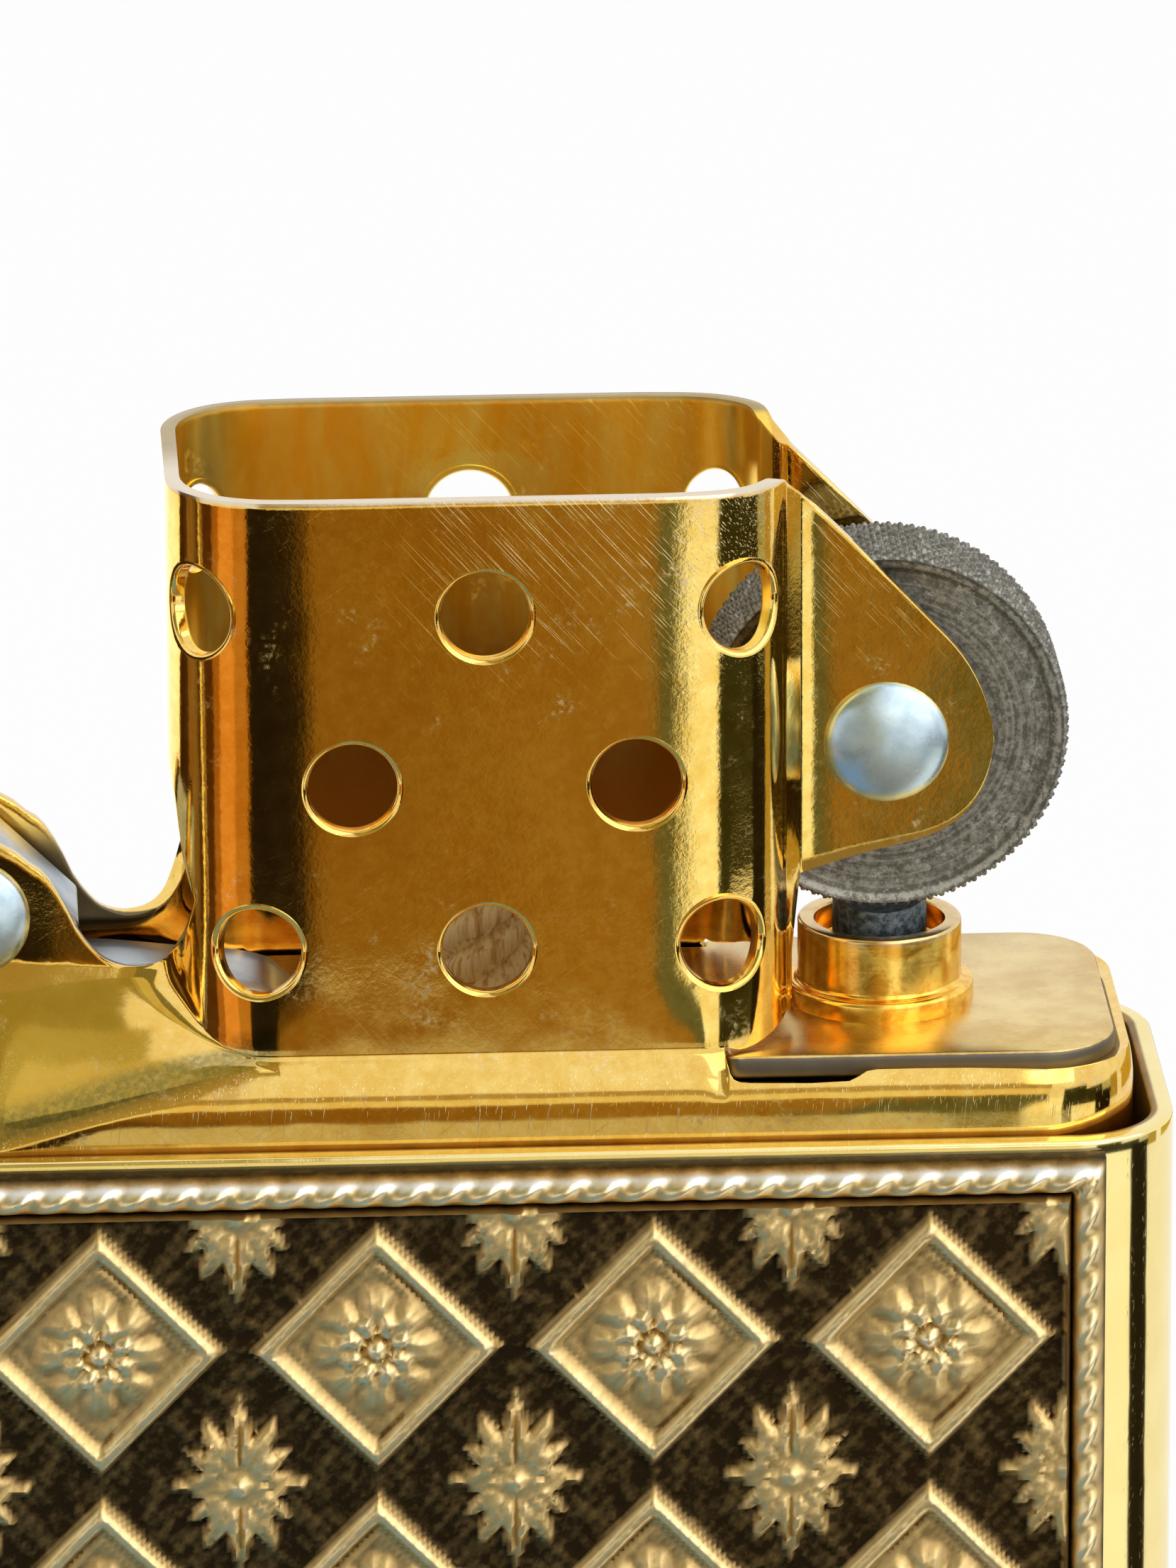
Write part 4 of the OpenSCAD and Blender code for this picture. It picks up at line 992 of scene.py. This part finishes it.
def flint():
    bm = bmesh.new()
    turned(bm, [(0, 38.0), (1.24, 38.0), (1.35, 38.1), (1.35, 41.2), (1.35, 42.2), (1.2, 42.2),
                (0.9, 42.2), (0.6, 42.2), (0.3, 42.2), (0, 42.2)], 32, WHEEL_X)
    for v in clean(bm, 0.002).verts:
        if v.co.z > 42:
            v.co.z = WHEEL_Z - sqrt((WHEEL_R + 0.25) ** 2 - (v.co.x - WHEEL_X) ** 2)
    place("flint_worn", bm, FLINT_METAL, "flint_body", ["flint"])


def flint_screw():
    bm = bmesh.new()
    head = soft_corner(2.45, 2.15, 0.15, -90, 0) + soft_corner(2.45, 2.85, 0.15, 0, 90)
    thread = []
    for k in range(12):
        thread += [(1.35, 3.1 + k * 0.38), (1.22, 3.29 + k * 0.38)]
    spigot = [(1.2, 8.05), (0.55, 8.05), (0.55, 9.35), (0.45, 9.45), (0, 9.45)]
    turned(bm, [(0, 2.0)] + head + [(1.2, 3.0)] + thread + spigot, 40, WHEEL_X)
    slot = bmesh.new()
    bmesh.ops.create_cube(slot, size=1)
    bmesh.ops.scale(slot, vec=(8, 0.7, 1), verts=slot.verts)
    bmesh.ops.translate(slot, verts=slot.verts, vec=(WHEEL_X, 0, 2.0))
    place("flint_screw_turned", clean(bm, 0.002), BRASS, "screw_body", ["flint_screw"],
          cutter=slot)


deck_plate()
flint_tube()
flint()
flint_screw()


# Wheel, cam and rivets

def striker_wheel():
    """One grid wrapped round the axis: bore, hub, face, chamfered ring, cross-cut rim and back."""
    bm = bmesh.new()
    around, cuts, half = 576, 96, WHEEL_W / 2
    face = [(1.05, 0.0), (1.05, 1.95), (1.86, 1.95), (1.95, 1.88), (1.95, 1.56), (2.1, 1.53), (2.6, 1.53),
            (3.1, 1.53), (3.6, 1.53), (4.1, 1.53), (4.5, 1.53), (4.75, 1.55), (4.85, 1.61), (4.97, 1.66)]
    across = spread(-half, half, 34)
    stations = ([(r, -h) for r, h in face] + [(None, y) for y in across]
                + [(r, h) for r, h in reversed(face)])

    def surface(i, j):
        a = 2 * pi * i / around
        r, y = stations[j]
        if r is None:
            one = abs((i * cuts / around + y * 1.9) % 1 - 0.5) * 2
            two = abs((i * cuts / around - y * 1.9) % 1 - 0.5) * 2
            edge = min(1, (half - abs(y)) / 0.14)
            cut = 0.13 * (1 - min(1, one * 1.4)) + 0.13 * (1 - min(1, two * 1.4))
            r = WHEEL_R - min(0.16, cut) * (0.45 + 0.55 * edge) - 0.14 * (1 - edge)
        elif 2 < r < 4.9:
            y += copysign(0.025, y) * noise.noise(Vector((r * cos(a), r * sin(a), y)) * 1.5)
        return WHEEL_X + r * cos(a), y, WHEEL_Z + r * sin(a)

    pressed(bm, around + 1, len(stations), surface)
    place("striker_wheel_knurled", clean(bm, 0.001), WHEEL_STEEL, "wheel_body",
          ["striker_wheel"], sharp=32)


def rivet(name, x, z, pin, head, seed, node):
    """A rivet across the ears, with softly hammered heads."""
    bm = bmesh.new()
    for side in (-1, 1):
        before = set(bm.verts)
        turns = spread(1e-4, pi / 2, 12)
        dome = [(head * sin(t), 0.52 * max(cos(t), 0) ** 0.9) for t in turns]
        shank = [(head, 0.05), (head - 0.03, 0.0), (pin, 0.0), (pin, -EAR_Y)]
        profile = [(0, dome[0][1])] + dome[1:-1] + shank
        turned(bm, profile, 40)
        for v in [v for v in bm.verts if v not in before]:
            dent = 0.0
            if v.co.z > 0.02:
                dent = 0.06 * noise.noise(Vector((v.co.x, v.co.y, seed + side * 3)) * 0.9)
            v.co = Vector((x + v.co.x, side * (EAR_Y + v.co.z + dent * v.co.z / 0.5), z + v.co.y))
    place(name, clean(bm, 0.003), RIVET_STEEL, "lighter", [node])


def cam():
    bm = bmesh.new()
    back = [(1.9 * cos(radians(a)), 1.9 * sin(radians(a))) for a in range(60, 201, 10)]
    outline = back + [(-2.25, -1.755), (-1.845, -2.25), (0.63, -1.998), (2.74, -1.85), (3.15, -0.5)]
    verts = [bm.verts.new((CAM_X + x, -CAM_HALF, CAM_Z + z)) for x, z in outline]
    bm.faces.new(verts)
    grown = bmesh.ops.extrude_face_region(bm, geom=bm.faces[:])
    bmesh.ops.translate(bm, verts=only(BMVert, grown["geom"]), vec=(0, 2 * CAM_HALF, 0))
    outwards(bm)
    bore = bmesh.new()
    bmesh.ops.create_cone(bore, cap_ends=True, segments=40, radius1=0.85, radius2=0.85, depth=6,
                          matrix=Matrix.Translation((CAM_X, 0, CAM_Z)) @ Matrix.Rotation(pi / 2, 4, "X"))
    place("cam_steel", bm, LEAF_STEEL, "cam_body", ["cam"], [rounded(0.15, 3, 30)],
          cutter=bore)


def cam_spring():
    """The leaf that presses on the cam, from its free end to its riveted foot."""
    line = [(-13.62, 40.7), (-12.46, 40.95), (-9.5, 40.7), (-6.73, 40.3), (-5.65, FOOT_Z), (-2.95, FOOT_Z)]
    xs = spread(-13.62, -2.95, 40)
    bm = bmesh.new()
    pressed(bm, len(xs), 5, lambda i, j: (xs[i], -CAM_HALF + 2 * CAM_HALF * j / 4,
                                          max(through(line, xs[i]), FOOT_Z)))
    outwards(bm)
    if bm.faces[:][0].normal.z < 0:
        bmesh.ops.reverse_faces(bm, faces=bm.faces)
    place("cam_spring_leaf", bm, LEAF_STEEL, "lighter", ["cam_spring"],
          [thick(LEAF_T), rounded(0.06, 2, 50)])


def spring_rivet():
    bm = bmesh.new()
    turned(bm, [(0, 38.65), (0.5, 38.65), (0.5, FOOT_Z), (0.9, FOOT_Z), (0.95, 39.6), (0.85, 39.78),
                (0.5, 39.88), (0, 39.9)], 28, FOOT_X)
    place("cam_spring_rivet_domed", clean(bm, 0.002), RIVET_STEEL, "lighter",
          ["cam_spring_rivet"])


striker_wheel()
rivet("wheel_rivet_domed", WHEEL_X, WHEEL_Z, 1.0, 1.78, 4.0, "wheel_rivet")
rivet("cam_rivet_domed", CAM_X, CAM_Z, 0.8, 1.72, 9.0, "cam_rivet")
cam()
cam_spring()
spring_rivet()


# Wick, wadding and felt

def wick():
    """Four strands twisted round each other, frayed at the tip."""
    bm = bmesh.new()
    turns, sides = 8, 10
    for k in range(4):
        made = bmesh.ops.create_circle(bm, segments=sides, radius=STRAND_R,
                                       matrix=Matrix.Rotation(pi / 2, 4, "X"))
        bmesh.ops.translate(bm, verts=made["verts"], vec=(STRAND_R, 0, 0))
        bmesh.ops.rotate(bm, verts=made["verts"], cent=(0, 0, 0),
                         matrix=Matrix.Rotation(pi / 2 * k, 3, "Z"))
        ring = made["verts"] + edges_at(made["verts"])
        bmesh.ops.edgeloop_fill(bm, edges=only(BMEdge, ring))
        steps = turns * 20
        swept = bmesh.ops.spin(bm, geom=ring, cent=(0, 0, 0), axis=(0, 0, 1),
                               dvec=(0, 0, WICK_LENGTH / steps), angle=2 * pi * turns,
                               steps=steps, use_merge=False)
        bmesh.ops.edgeloop_fill(bm, edges=only(BMEdge, swept["geom_last"]))
    for v in bm.verts:
        swell = 1 + 0.05 * noise.noise(Vector((v.co.x * 2, v.co.y * 2, v.co.z * 1.3)))
        tip = min(1.0, (36.6 - v.co.z) / 1.6)
        reach = swell * (0.72 + 0.28 * max(tip, 0.0))
        v.co = Vector((WICK_X + v.co.x * reach, v.co.y * reach, WICK_Z0 + v.co.z))
    outwards(bm)
    place("wick_twisted", bm, COTTON, "lighter", ["wick"], sharp=60)


def bored(x, r):
    """An upright rod that cuts a hole."""
    bm = bmesh.new()
    bmesh.ops.create_cone(bm, cap_ends=True, segments=36, radius1=r, radius2=r, depth=100,
                          matrix=Matrix.Translation((x, 0, 20)))
    return bm


def wadding():
    """Four puffed blocks with drawn-in corners, pierced by the wick."""
    x0, x1 = -17.0, 8.2
    z0, z1 = 5.5, 38.35
    step = (z1 - z0) / 4
    bm = bmesh.new()
    for k in range(4):
        low = z0 + k * step
        high = 35.5 if k == 3 else low + step - 0.3
        made = bmesh.ops.create_cube(bm, size=1)
        bmesh.ops.subdivide_edges(bm, edges=edges_at(made["verts"]), cuts=9, use_grid_fill=True)
        fresh = {v for f in bm.faces for v in f.verts if abs(v.co.x) <= 0.51 and abs(v.co.z) <= 0.51}
        for v in fresh:
            u = v.co * 2
            pull = 1 - 0.10 * (abs(u.x) ** 4 * abs(u.z) ** 4) - 0.16 * (abs(u.x) ** 6 * abs(u.y) ** 6)
            puff = 1 - 0.05 * (1 + noise.noise(Vector((u.x * 3, u.y * 2, u.z * 2 + k * 5))))
            v.co = Vector(((x0 + x1) / 2 + u.x * (x1 - x0) / 2 * pull * (0.97 + 0.03 * puff),
                           u.y * 4.9 * pull * puff, (low + high) / 2 + u.z * (high - low) / 2 * pull * puff))
    outwards(bm)
    made = place("wadding_blocks", bm, WADDING, "lighter", ["wadding"],
                 cutter=bored(WICK_X, 1.75), sharp=60)


def felt_pad():
    bm = bmesh.new()
    outline = [(-17.2, -5.15), (17.3, -5.15), (17.3, 5.15), (-17.2, 5.15)]
    slab(bm, outline, FELT_Z0, FELT_Z1, [([0, 1, 2, 3], 2.1)])
    made = place("felt_pad_pressed", bm, FELT, "lighter", ["felt_pad"],
                 [rounded(0.3, 3, 40)], cutter=bored(WHEEL_X, 2.95), sharp=50)


wick()
wadding()
felt_pad()


# Case, lid and their relief plates

def cap(height, soft):
    """A drawn cap open at z = height, its far edges rounded."""
    bm = bmesh.new()
    w, d = CASE_W / 2, CASE_D / 2
    slab(bm, [(-w, -d), (w, -d), (w, d), (-w, d)], 0, height, [([0, 1, 2, 3], EDGE_R)])
    base = [e for e in bm.edges if all(abs(v.co.z) < 1e-4 for v in e.verts)]
    bmesh.ops.bevel(bm, geom=base, offset=soft, segments=7, profile=0.5, affect="EDGES",
                    material=-1, offset_type="OFFSET")
    bmesh.ops.delete(bm, geom=[f for f in bm.faces if f.calc_center_median().z > height - 1e-3],
                     context="FACES_ONLY")
    outwards(bm)
    side = min(bm.faces, key=lambda f: f.calc_center_median().y)
    if side.normal.y > 0:
        bmesh.ops.reverse_faces(bm, faces=bm.faces)
    for z in (soft + 0.5, height - 0.5):
        bmesh.ops.bisect_plane(bm, geom=bm.verts[:] + bm.edges[:] + bm.faces[:], plane_co=(0, 0, z),
                               plane_no=(0, 0, 1))
    return bm


def notch(height):
    """The cut for the hinge barrel in a cap's open rim."""
    bm = bmesh.new()
    bmesh.ops.create_cube(bm, size=1)
    bmesh.ops.scale(bm, vec=(2.4, 2 * NOTCH_HALF, 2 * NOTCH_H), verts=bm.verts)
    bmesh.ops.translate(bm, verts=bm.verts, vec=(-CASE_W / 2 - 0.5, 0, height))
    return bm


def flipped(bm):
    """Turns a cap made from z = 0 upwards into the closed lid's place."""
    for v in bm.verts:
        v.co.z = LID_Z1 - v.co.z
    bmesh.ops.reverse_faces(bm, faces=bm.faces)
    return open_lid(bm)


def case_parts():
    edge = [thick(WALL), rounded(0.12, 3, 50)]
    place("case_bottom_drawn", cap(CASE_H, EDGE_BREAK), CASE_GOLD, "lighter", ["case_bottom"],
          edge, cutter=notch(CASE_H))
    lid_h = LID_Z1 - LID_Z0
    place("case_lid_drawn", flipped(cap(lid_h, EDGE_BREAK + 0.17)), LID_GOLD, "lid",
          ["case_lid"], edge, cutter=flipped(notch(lid_h)))


def round_top(distance, half):
    """A half-round ridge, from the distance to its middle line."""
    return np.sqrt(np.clip(1 - (distance / half) ** 2, 0, 1))


def leaf(x, y, angle, reach, width):
    """A pointed, veined leaf that springs from (0, 0) at an angle in degrees."""
    a = radians(angle)
    along, aside = x * cos(a) + y * sin(a), np.abs(y * cos(a) - x * sin(a))
    t = np.clip(along / reach, 0, 1)
    half = width / 2 * np.sin(np.pi * t ** 0.75) + 1e-3
    body = round_top(aside, half) * (0.55 + 0.45 * np.sin(np.pi * t))
    vein = 0.4 * np.exp(-((aside / 0.06) ** 2))
    return np.where((along > 0) & (along < reach), body * (1 - vein), 0)


def petals(x, y, count, turn, r0, r1):
    """A ring of fluted petals between two radii."""
    r, a = np.hypot(x, y), np.arctan2(y, x) * count / 2 + turn
    swell = np.sin(np.pi * np.clip((r - r0) / (r1 - r0), 0, 1) ** 0.8)
    return np.abs(np.cos(a)) ** 0.7 * swell * (1 - 0.3 * np.exp(-((np.sin(a) / 0.12) ** 2)))


def relief_heights(x, z, w, h, cols, rows):
    """Height of the relief over its ground: lozenge panels with rosettes, palmettes between, roped edge."""
    iw, ih = w - 2 * BORDER, h - 2 * BORDER
    sx, sz = iw / cols, ih / rows
    u, v = (x + iw / 2) / sx, (z + ih / 2) / sz
    px, pz = (u - np.floor(u) - 0.5) * sx, (v - np.floor(v) - 0.5) * sz
    diamond = np.abs(px) / (sx / 2) + np.abs(pz) / (sz / 2)
    size = sx / 2 * 0.7
    frame_bar = round_top((diamond - 0.80) * size, 0.30) * 0.80
    step_bar = np.clip(0.5 - np.abs((diamond - 0.62) * size) * 2.2, 0, 0.42)
    panel = np.clip((0.84 - diamond) * 6, 0, 1) * 0.30
    flutes = 0.05 * np.cos(np.arctan2(pz, px) * 32) * np.clip(np.hypot(px, pz) - 1.8, 0, 1)
    r = np.hypot(px, pz)
    rosette = np.maximum(petals(px, pz, 8, 0, 0.5, 2.05) * 0.62,
                         petals(px, pz, 8, np.pi / 2, 0.3, 1.35) * 0.80)
    button = np.maximum(round_top(r, 0.40) * 1.0, round_top(r - 0.52, 0.10) * 0.8)
    qx, qz = (u - np.round(u)) * sx, (v - np.round(v)) * sz
    away = np.abs(qz)
    palmette = np.maximum.reduce([leaf(np.abs(qx), away, angle, reach, width) for angle, reach, width in
                                  ((90, 2.7, 0.95), (62, 2.35, 0.80), (36, 1.9, 0.70), (10, 1.5, 0.60))])
    bud = round_top(np.hypot(qx, qz), 0.42) * 0.85
    stem = round_top(away, 0.16) * 0.45 * (np.abs(qx) < 1.9)
    ground = 0.05 * np.sin(x * 12.0) * np.sin(z * 12.0) + 0.03 * np.sin(x * 3.1 + 1.7 * np.sin(z * 1.9))
    field = np.maximum.reduce([frame_bar, step_bar, panel + flutes, panel * 0.6 + rosette, button,
                               palmette * 0.78, bud, stem]) + ground
    field = np.where((np.abs(x) < iw / 2) & (np.abs(z) < ih / 2), field, 0)
    bx, bz = w / 2 - np.abs(x), h / 2 - np.abs(z)
    b = np.minimum(bx, bz)
    along = np.where(bx < bz, z, x)
    twist = 0.5 + 0.5 * np.sin(2 * np.pi * (along / 1.1 + (b - 0.55) * 0.9))
    rope = round_top(b - 0.52, 0.42) * (0.66 + 0.34 * twist)
    lip = round_top(b - 1.12, 0.13) * 0.6
    return np.maximum(np.maximum(field, rope), lip)


def relief_plate(z0, z1, cols, rows):
    """A cast plate lying against the front, its relief pressed into a fine grid."""
    w, h = PLATE_W, z1 - z0
    nx, nz = round(w / RELIEF_GRID), round(h / RELIEF_GRID)
    bm = bmesh.new()
    bmesh.ops.create_grid(bm, x_segments=nx, y_segments=nz, size=0.5)
    co = np.array([v.co[:] for v in bm.verts])
    x, z = co[:, 0] * w, co[:, 1] * h
    height = relief_heights(x, z, w, h, cols, rows)
    edge = np.minimum(w / 2 - np.abs(x), h / 2 - np.abs(z))
    lift = np.clip(height, -0.1, 1) * RELIEF_T - 0.18 * np.clip(1 - edge / 0.15, 0, 1)
    layer = bm.verts.layers.float.new("height")
    for v, a, b, up, level in zip(bm.verts, x, z, lift, height):
        v.co = Vector((a, -CASE_D / 2 - PLATE_T - up, b + (z0 + z1) / 2))
        v[layer] = float(level)
    rim = [e for e in bm.edges if e.is_boundary]
    grown = bmesh.ops.extrude_edge_only(bm, edges=rim)["geom"]
    for v in only(BMVert, grown):
        v.co.y = -CASE_D / 2 + 0.02
    bmesh.ops.edgeloop_fill(bm, edges=[e for e in only(BMEdge, grown) if e.is_boundary])
    outwards(bm)
    return bm


def paint_carried_over():
    """Paints the solids that show as they come from the CAD."""
    for node, paint in {"hinge_leaf_case": CASE_GOLD, "hinge_leaf_lid": CASE_GOLD,
                        "hinge_pin": RIVET_STEEL, "lid_stop": LEAF_STEEL, "flint_spring": LEAF_STEEL,
                        "flint_pusher": BRASS}.items():
        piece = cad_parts[node]
        piece.data.materials.clear()
        piece.data.materials.append(paint)


case_parts()
place("case_relief_cast", relief_plate(*CASE_PLATE_Z, 4, 4), BRONZE, "lighter",
      ["case_relief_plate"], sharp=70)
place("lid_relief_cast", open_lid(relief_plate(*LID_PLATE_Z, 4, 2)), BRONZE, "lid",
      ["lid_relief_plate"], sharp=70)
paint_carried_over()


# Floor, light and camera

def white_where_seen(tree):
    """1 for camera, glossy and clear rays, 0 for the rest."""
    path = tree.nodes.new("ShaderNodeLightPath")
    seen = path.outputs["Is Camera Ray"]
    for other in ("Is Glossy Ray", "Is Transmission Ray"):
        either = tree.nodes.new("ShaderNodeMath")
        either.operation = "MAXIMUM"
        tree.links.new(seen, either.inputs[0])
        tree.links.new(path.outputs[other], either.inputs[1])
        seen = either.outputs[0]
    return seen


def mixed(tree, share, plain, white, output):
    """Joins two shaders by a share and feeds them to an output."""
    both = tree.nodes.new("ShaderNodeMixShader")
    out = tree.nodes.new(output)
    for a, b in ((share, both.inputs[0]), (plain, both.inputs[1]), (white, both.inputs[2]),
                 (both.outputs[0], out.inputs[0])):
        tree.links.new(a, b)


def glow(tree, kind, colour, strength):
    node = tree.nodes.new(kind)
    node.inputs[0].default_value, node.inputs[1].default_value = (*colour, 1), strength
    return node.outputs[0]


def world_light():
    world = bpy.data.worlds.new("studio")
    bpy.context.scene.world = world
    tree = empty_tree(world)
    mixed(tree, white_where_seen(tree), glow(tree, "ShaderNodeBackground", (1, 1, 1), 0.6),
          glow(tree, "ShaderNodeBackground", (1, 1, 1), 1.0), "ShaderNodeOutputWorld")


def stage_board(name, bm):
    """A board of the stage, with an empty material."""
    obj = mesh_object(name, bm)
    material = bpy.data.materials.new(name)
    obj.data.materials.append(material)
    return obj, empty_tree(material)


def floor():
    far = 4000
    bm = bmesh.new()
    bmesh.ops.create_grid(bm, x_segments=1, y_segments=1, size=far)
    tree = stage_board("floor", bm)[1]
    matt = tree.nodes.new("ShaderNodeBsdfDiffuse")
    matt.inputs[0].default_value = (0.9, 0.9, 0.9, 1)
    share = tree.nodes.new("ShaderNodeMath")
    share.operation = "MULTIPLY"
    share.inputs[1].default_value = 0.95
    tree.links.new(white_where_seen(tree), share.inputs[0])
    mixed(tree, share.outputs[0], matt.outputs[0], glow(tree, "ShaderNodeEmission", (1, 1, 1), 1.0),
          "ShaderNodeOutputMaterial")


def studio_card(name, cols, at, shade):
    """A card that only reflections see; polished metal takes its bands from it."""
    bm = bmesh.new()
    pressed(bm, cols, 2, at)
    obj, tree = stage_board(name, bm)
    out = tree.nodes.new("ShaderNodeOutputMaterial")
    tree.links.new(glow(tree, "ShaderNodeEmission", shade, 1.0), out.inputs[0])
    obj.visible_camera = obj.visible_diffuse = obj.visible_shadow = obj.visible_transmission = False


def floor_card(name, turn0, turn1, shade, near=118, far=320, centre=(0, 0), lift=1):
    """A card on the floor between two bearings round the object; bearing 0 is the front."""
    def at(i, j):
        a, r = radians(turn0 + (turn1 - turn0) * i / CARD_STEPS), near + (far - near) * j
        return centre[0] + r * sin(a), centre[1] - r * cos(a), lift

    studio_card(name, CARD_STEPS + 1, at, shade)


def wall_card(name, turn0, turn1, low, high, shade, far=600):
    """A card standing round the front, between two bearings and two heights in degrees above the floor."""
    def at(i, j):
        a = radians(turn0 + (turn1 - turn0) * i / CARD_STEPS)
        up = radians(low + (high - low) * j)
        return far * sin(a), -far * cos(a), far * tan(up)

    studio_card(name, CARD_STEPS + 1, at, shade)


def soft_lamp(name, at, target, size, watts, tint, mirrored):
    lamp = bpy.data.lights.new(name, "AREA")
    lamp.shape, lamp.size, lamp.size_y = "RECTANGLE", size[0], size[1]
    lamp.energy, lamp.color = watts, tint
    obj = into_scene(bpy.data.objects.new(name, lamp))
    obj.location = at
    obj.visible_glossy = mirrored
    obj.rotation_euler = (Vector(target) - Vector(at)).to_track_quat("-Z", "Y").to_euler()


def camera():
    """The photograph's view."""
    yaw, pitch, roll = (radians(a) for a in CAMERA_TURNS)
    ahead = Vector((sin(yaw) * cos(pitch), cos(yaw) * cos(pitch), -sin(pitch)))
    right = ahead.cross(Vector((0, 0, 1))).normalized()
    up = right.cross(ahead)
    right, up = right * cos(roll) - up * sin(roll), up * cos(roll) + right * sin(roll)
    lens = bpy.data.cameras.new("camera")
    lens.sensor_fit, lens.sensor_width, lens.lens = "HORIZONTAL", SENSOR_W, LENS
    lens.clip_start, lens.clip_end = 0.01, 20
    obj = into_scene(bpy.data.objects.new("camera", lens))
    turn = Matrix((right, up, -ahead)).transposed().to_4x4()
    obj.matrix_world = Matrix.Translation(Vector(CAMERA_AT) * MM) @ turn
    bpy.context.scene.camera = obj


world_light()
floor()
soft_lamp("key_lamp", (-0.55, -0.70, 1.10), (0, 0, 0.04), (0.90, 0.70), 4.5, (1.0, 0.98, 0.95), False)
soft_lamp("fill_lamp", (0.90, -0.30, 0.60), (0, 0, 0.04), (0.50, 0.60), 1.8, (0.95, 0.98, 1.0), True)
for name, turn0, turn1, near, far, shade in (
        ("card_back_pale", -180, -117, 117, 220, (1.4, 1.4, 1.25)),
        ("card_back_left", -117, -66, 117, 260, (0.09, 0.034, 0.005)),
        ("card_left_low", -66, -58, 117, 240, (0.40, 0.16, 0.03)),
        ("card_left", -58, -42, 117, 240, (0.80, 0.36, 0.09)),
        ("card_left_near", -42, -30.5, 117, 240, (0.52, 0.23, 0.045)),
        ("card_front_left", -30.5, -5.4, 114.5, 300, (0.016, 0.011, 0.005)),
        ("card_front_soft", -5.4, -3, 114.5, 236, (0.11, 0.058, 0.012)),
        ("card_front", -3, 2.5, 114.5, 236, (0.27, 0.145, 0.026)),
        ("card_front_light", 2.5, 7.4, 114.5, 236, (0.34, 0.20, 0.045)),
        ("card_front_edge", 7.4, 12.7, 114.5, 236, (0.125, 0.14, 0.09)),
        ("card_front_pale", 12.7, 28.5, 114.5, 190, (1.15, 1.2, 1.15)),
        ("card_front_right", 28.5, 56, 117, 340, (0.035, 0.036, 0.015)),
        ("card_side_right", 56, 77.5, 117, 240, (0.035, 0.036, 0.015)),
        ("card_right_olive", 77.5, 91, 125, 240, (0.50, 0.54, 0.42)),
        ("card_right_gold", 91, 103, 125, 260, (0.47, 0.34, 0.08)),
        ("card_back_right", 112, 172, 130, 220, (0.60, 0.42, 0.05))):
    floor_card(name, turn0, turn1, shade, near, far)
floor_card("card_shoulder", -25, 60, (0.66, 0.64, 0.54), 104, 114.5)
floor_card("card_front_far", -14, 14, (0.92, 0.84, 0.56), 236, 450)
floor_card("card_front_edge_far", -14, 14, (0.48, 0.38, 0.20), 450, 2500)
floor_card("card_case_pale", 34, 68, (1.1, 1.1, 1.0), 8, 112, (18, -5), 2)
floor_card("card_case_side", 68, 93, (0.016, 0.012, 0.006), 8, 150, (18, -5), 2)
floor_card("card_near", -60, 38, (0.30, 0.24, 0.15), 14, 103)
floor_card("card_near_blue", -75, -8, (0.24, 0.38, 0.50), 18, 90, (11, 0), 2)
wall_card("card_high_left", -56, -10, 15, 62, (0.24, 0.23, 0.11))
wall_card("card_high_right", 8, 40, 2, 14, (2.6, 2.5, 2.4))
wall_card("card_sky_right", 12, 80, 18, 70, (2.3, 2.2, 2.1))
wall_card("card_bend", -20, -1.5, 8, 58, (0.42, 0.34, 0.15), 200)
for name, x0, x1, y1, shade in (
        ("card_above", -70, 5, -120, (0.36, 0.32, 0.11)),
        ("card_above_mid", -110, -70, -90, (0.50, 0.46, 0.20)),
        ("card_above_left", -260, -110, -30, (0.68, 0.62, 0.32))):
    studio_card(name, 2, lambda i, j: (x0 + (x1 - x0) * i, -330 + (y1 + 330) * j, 500), shade)
camera()

scene = bpy.context.scene
scene.view_settings.view_transform = "Standard"
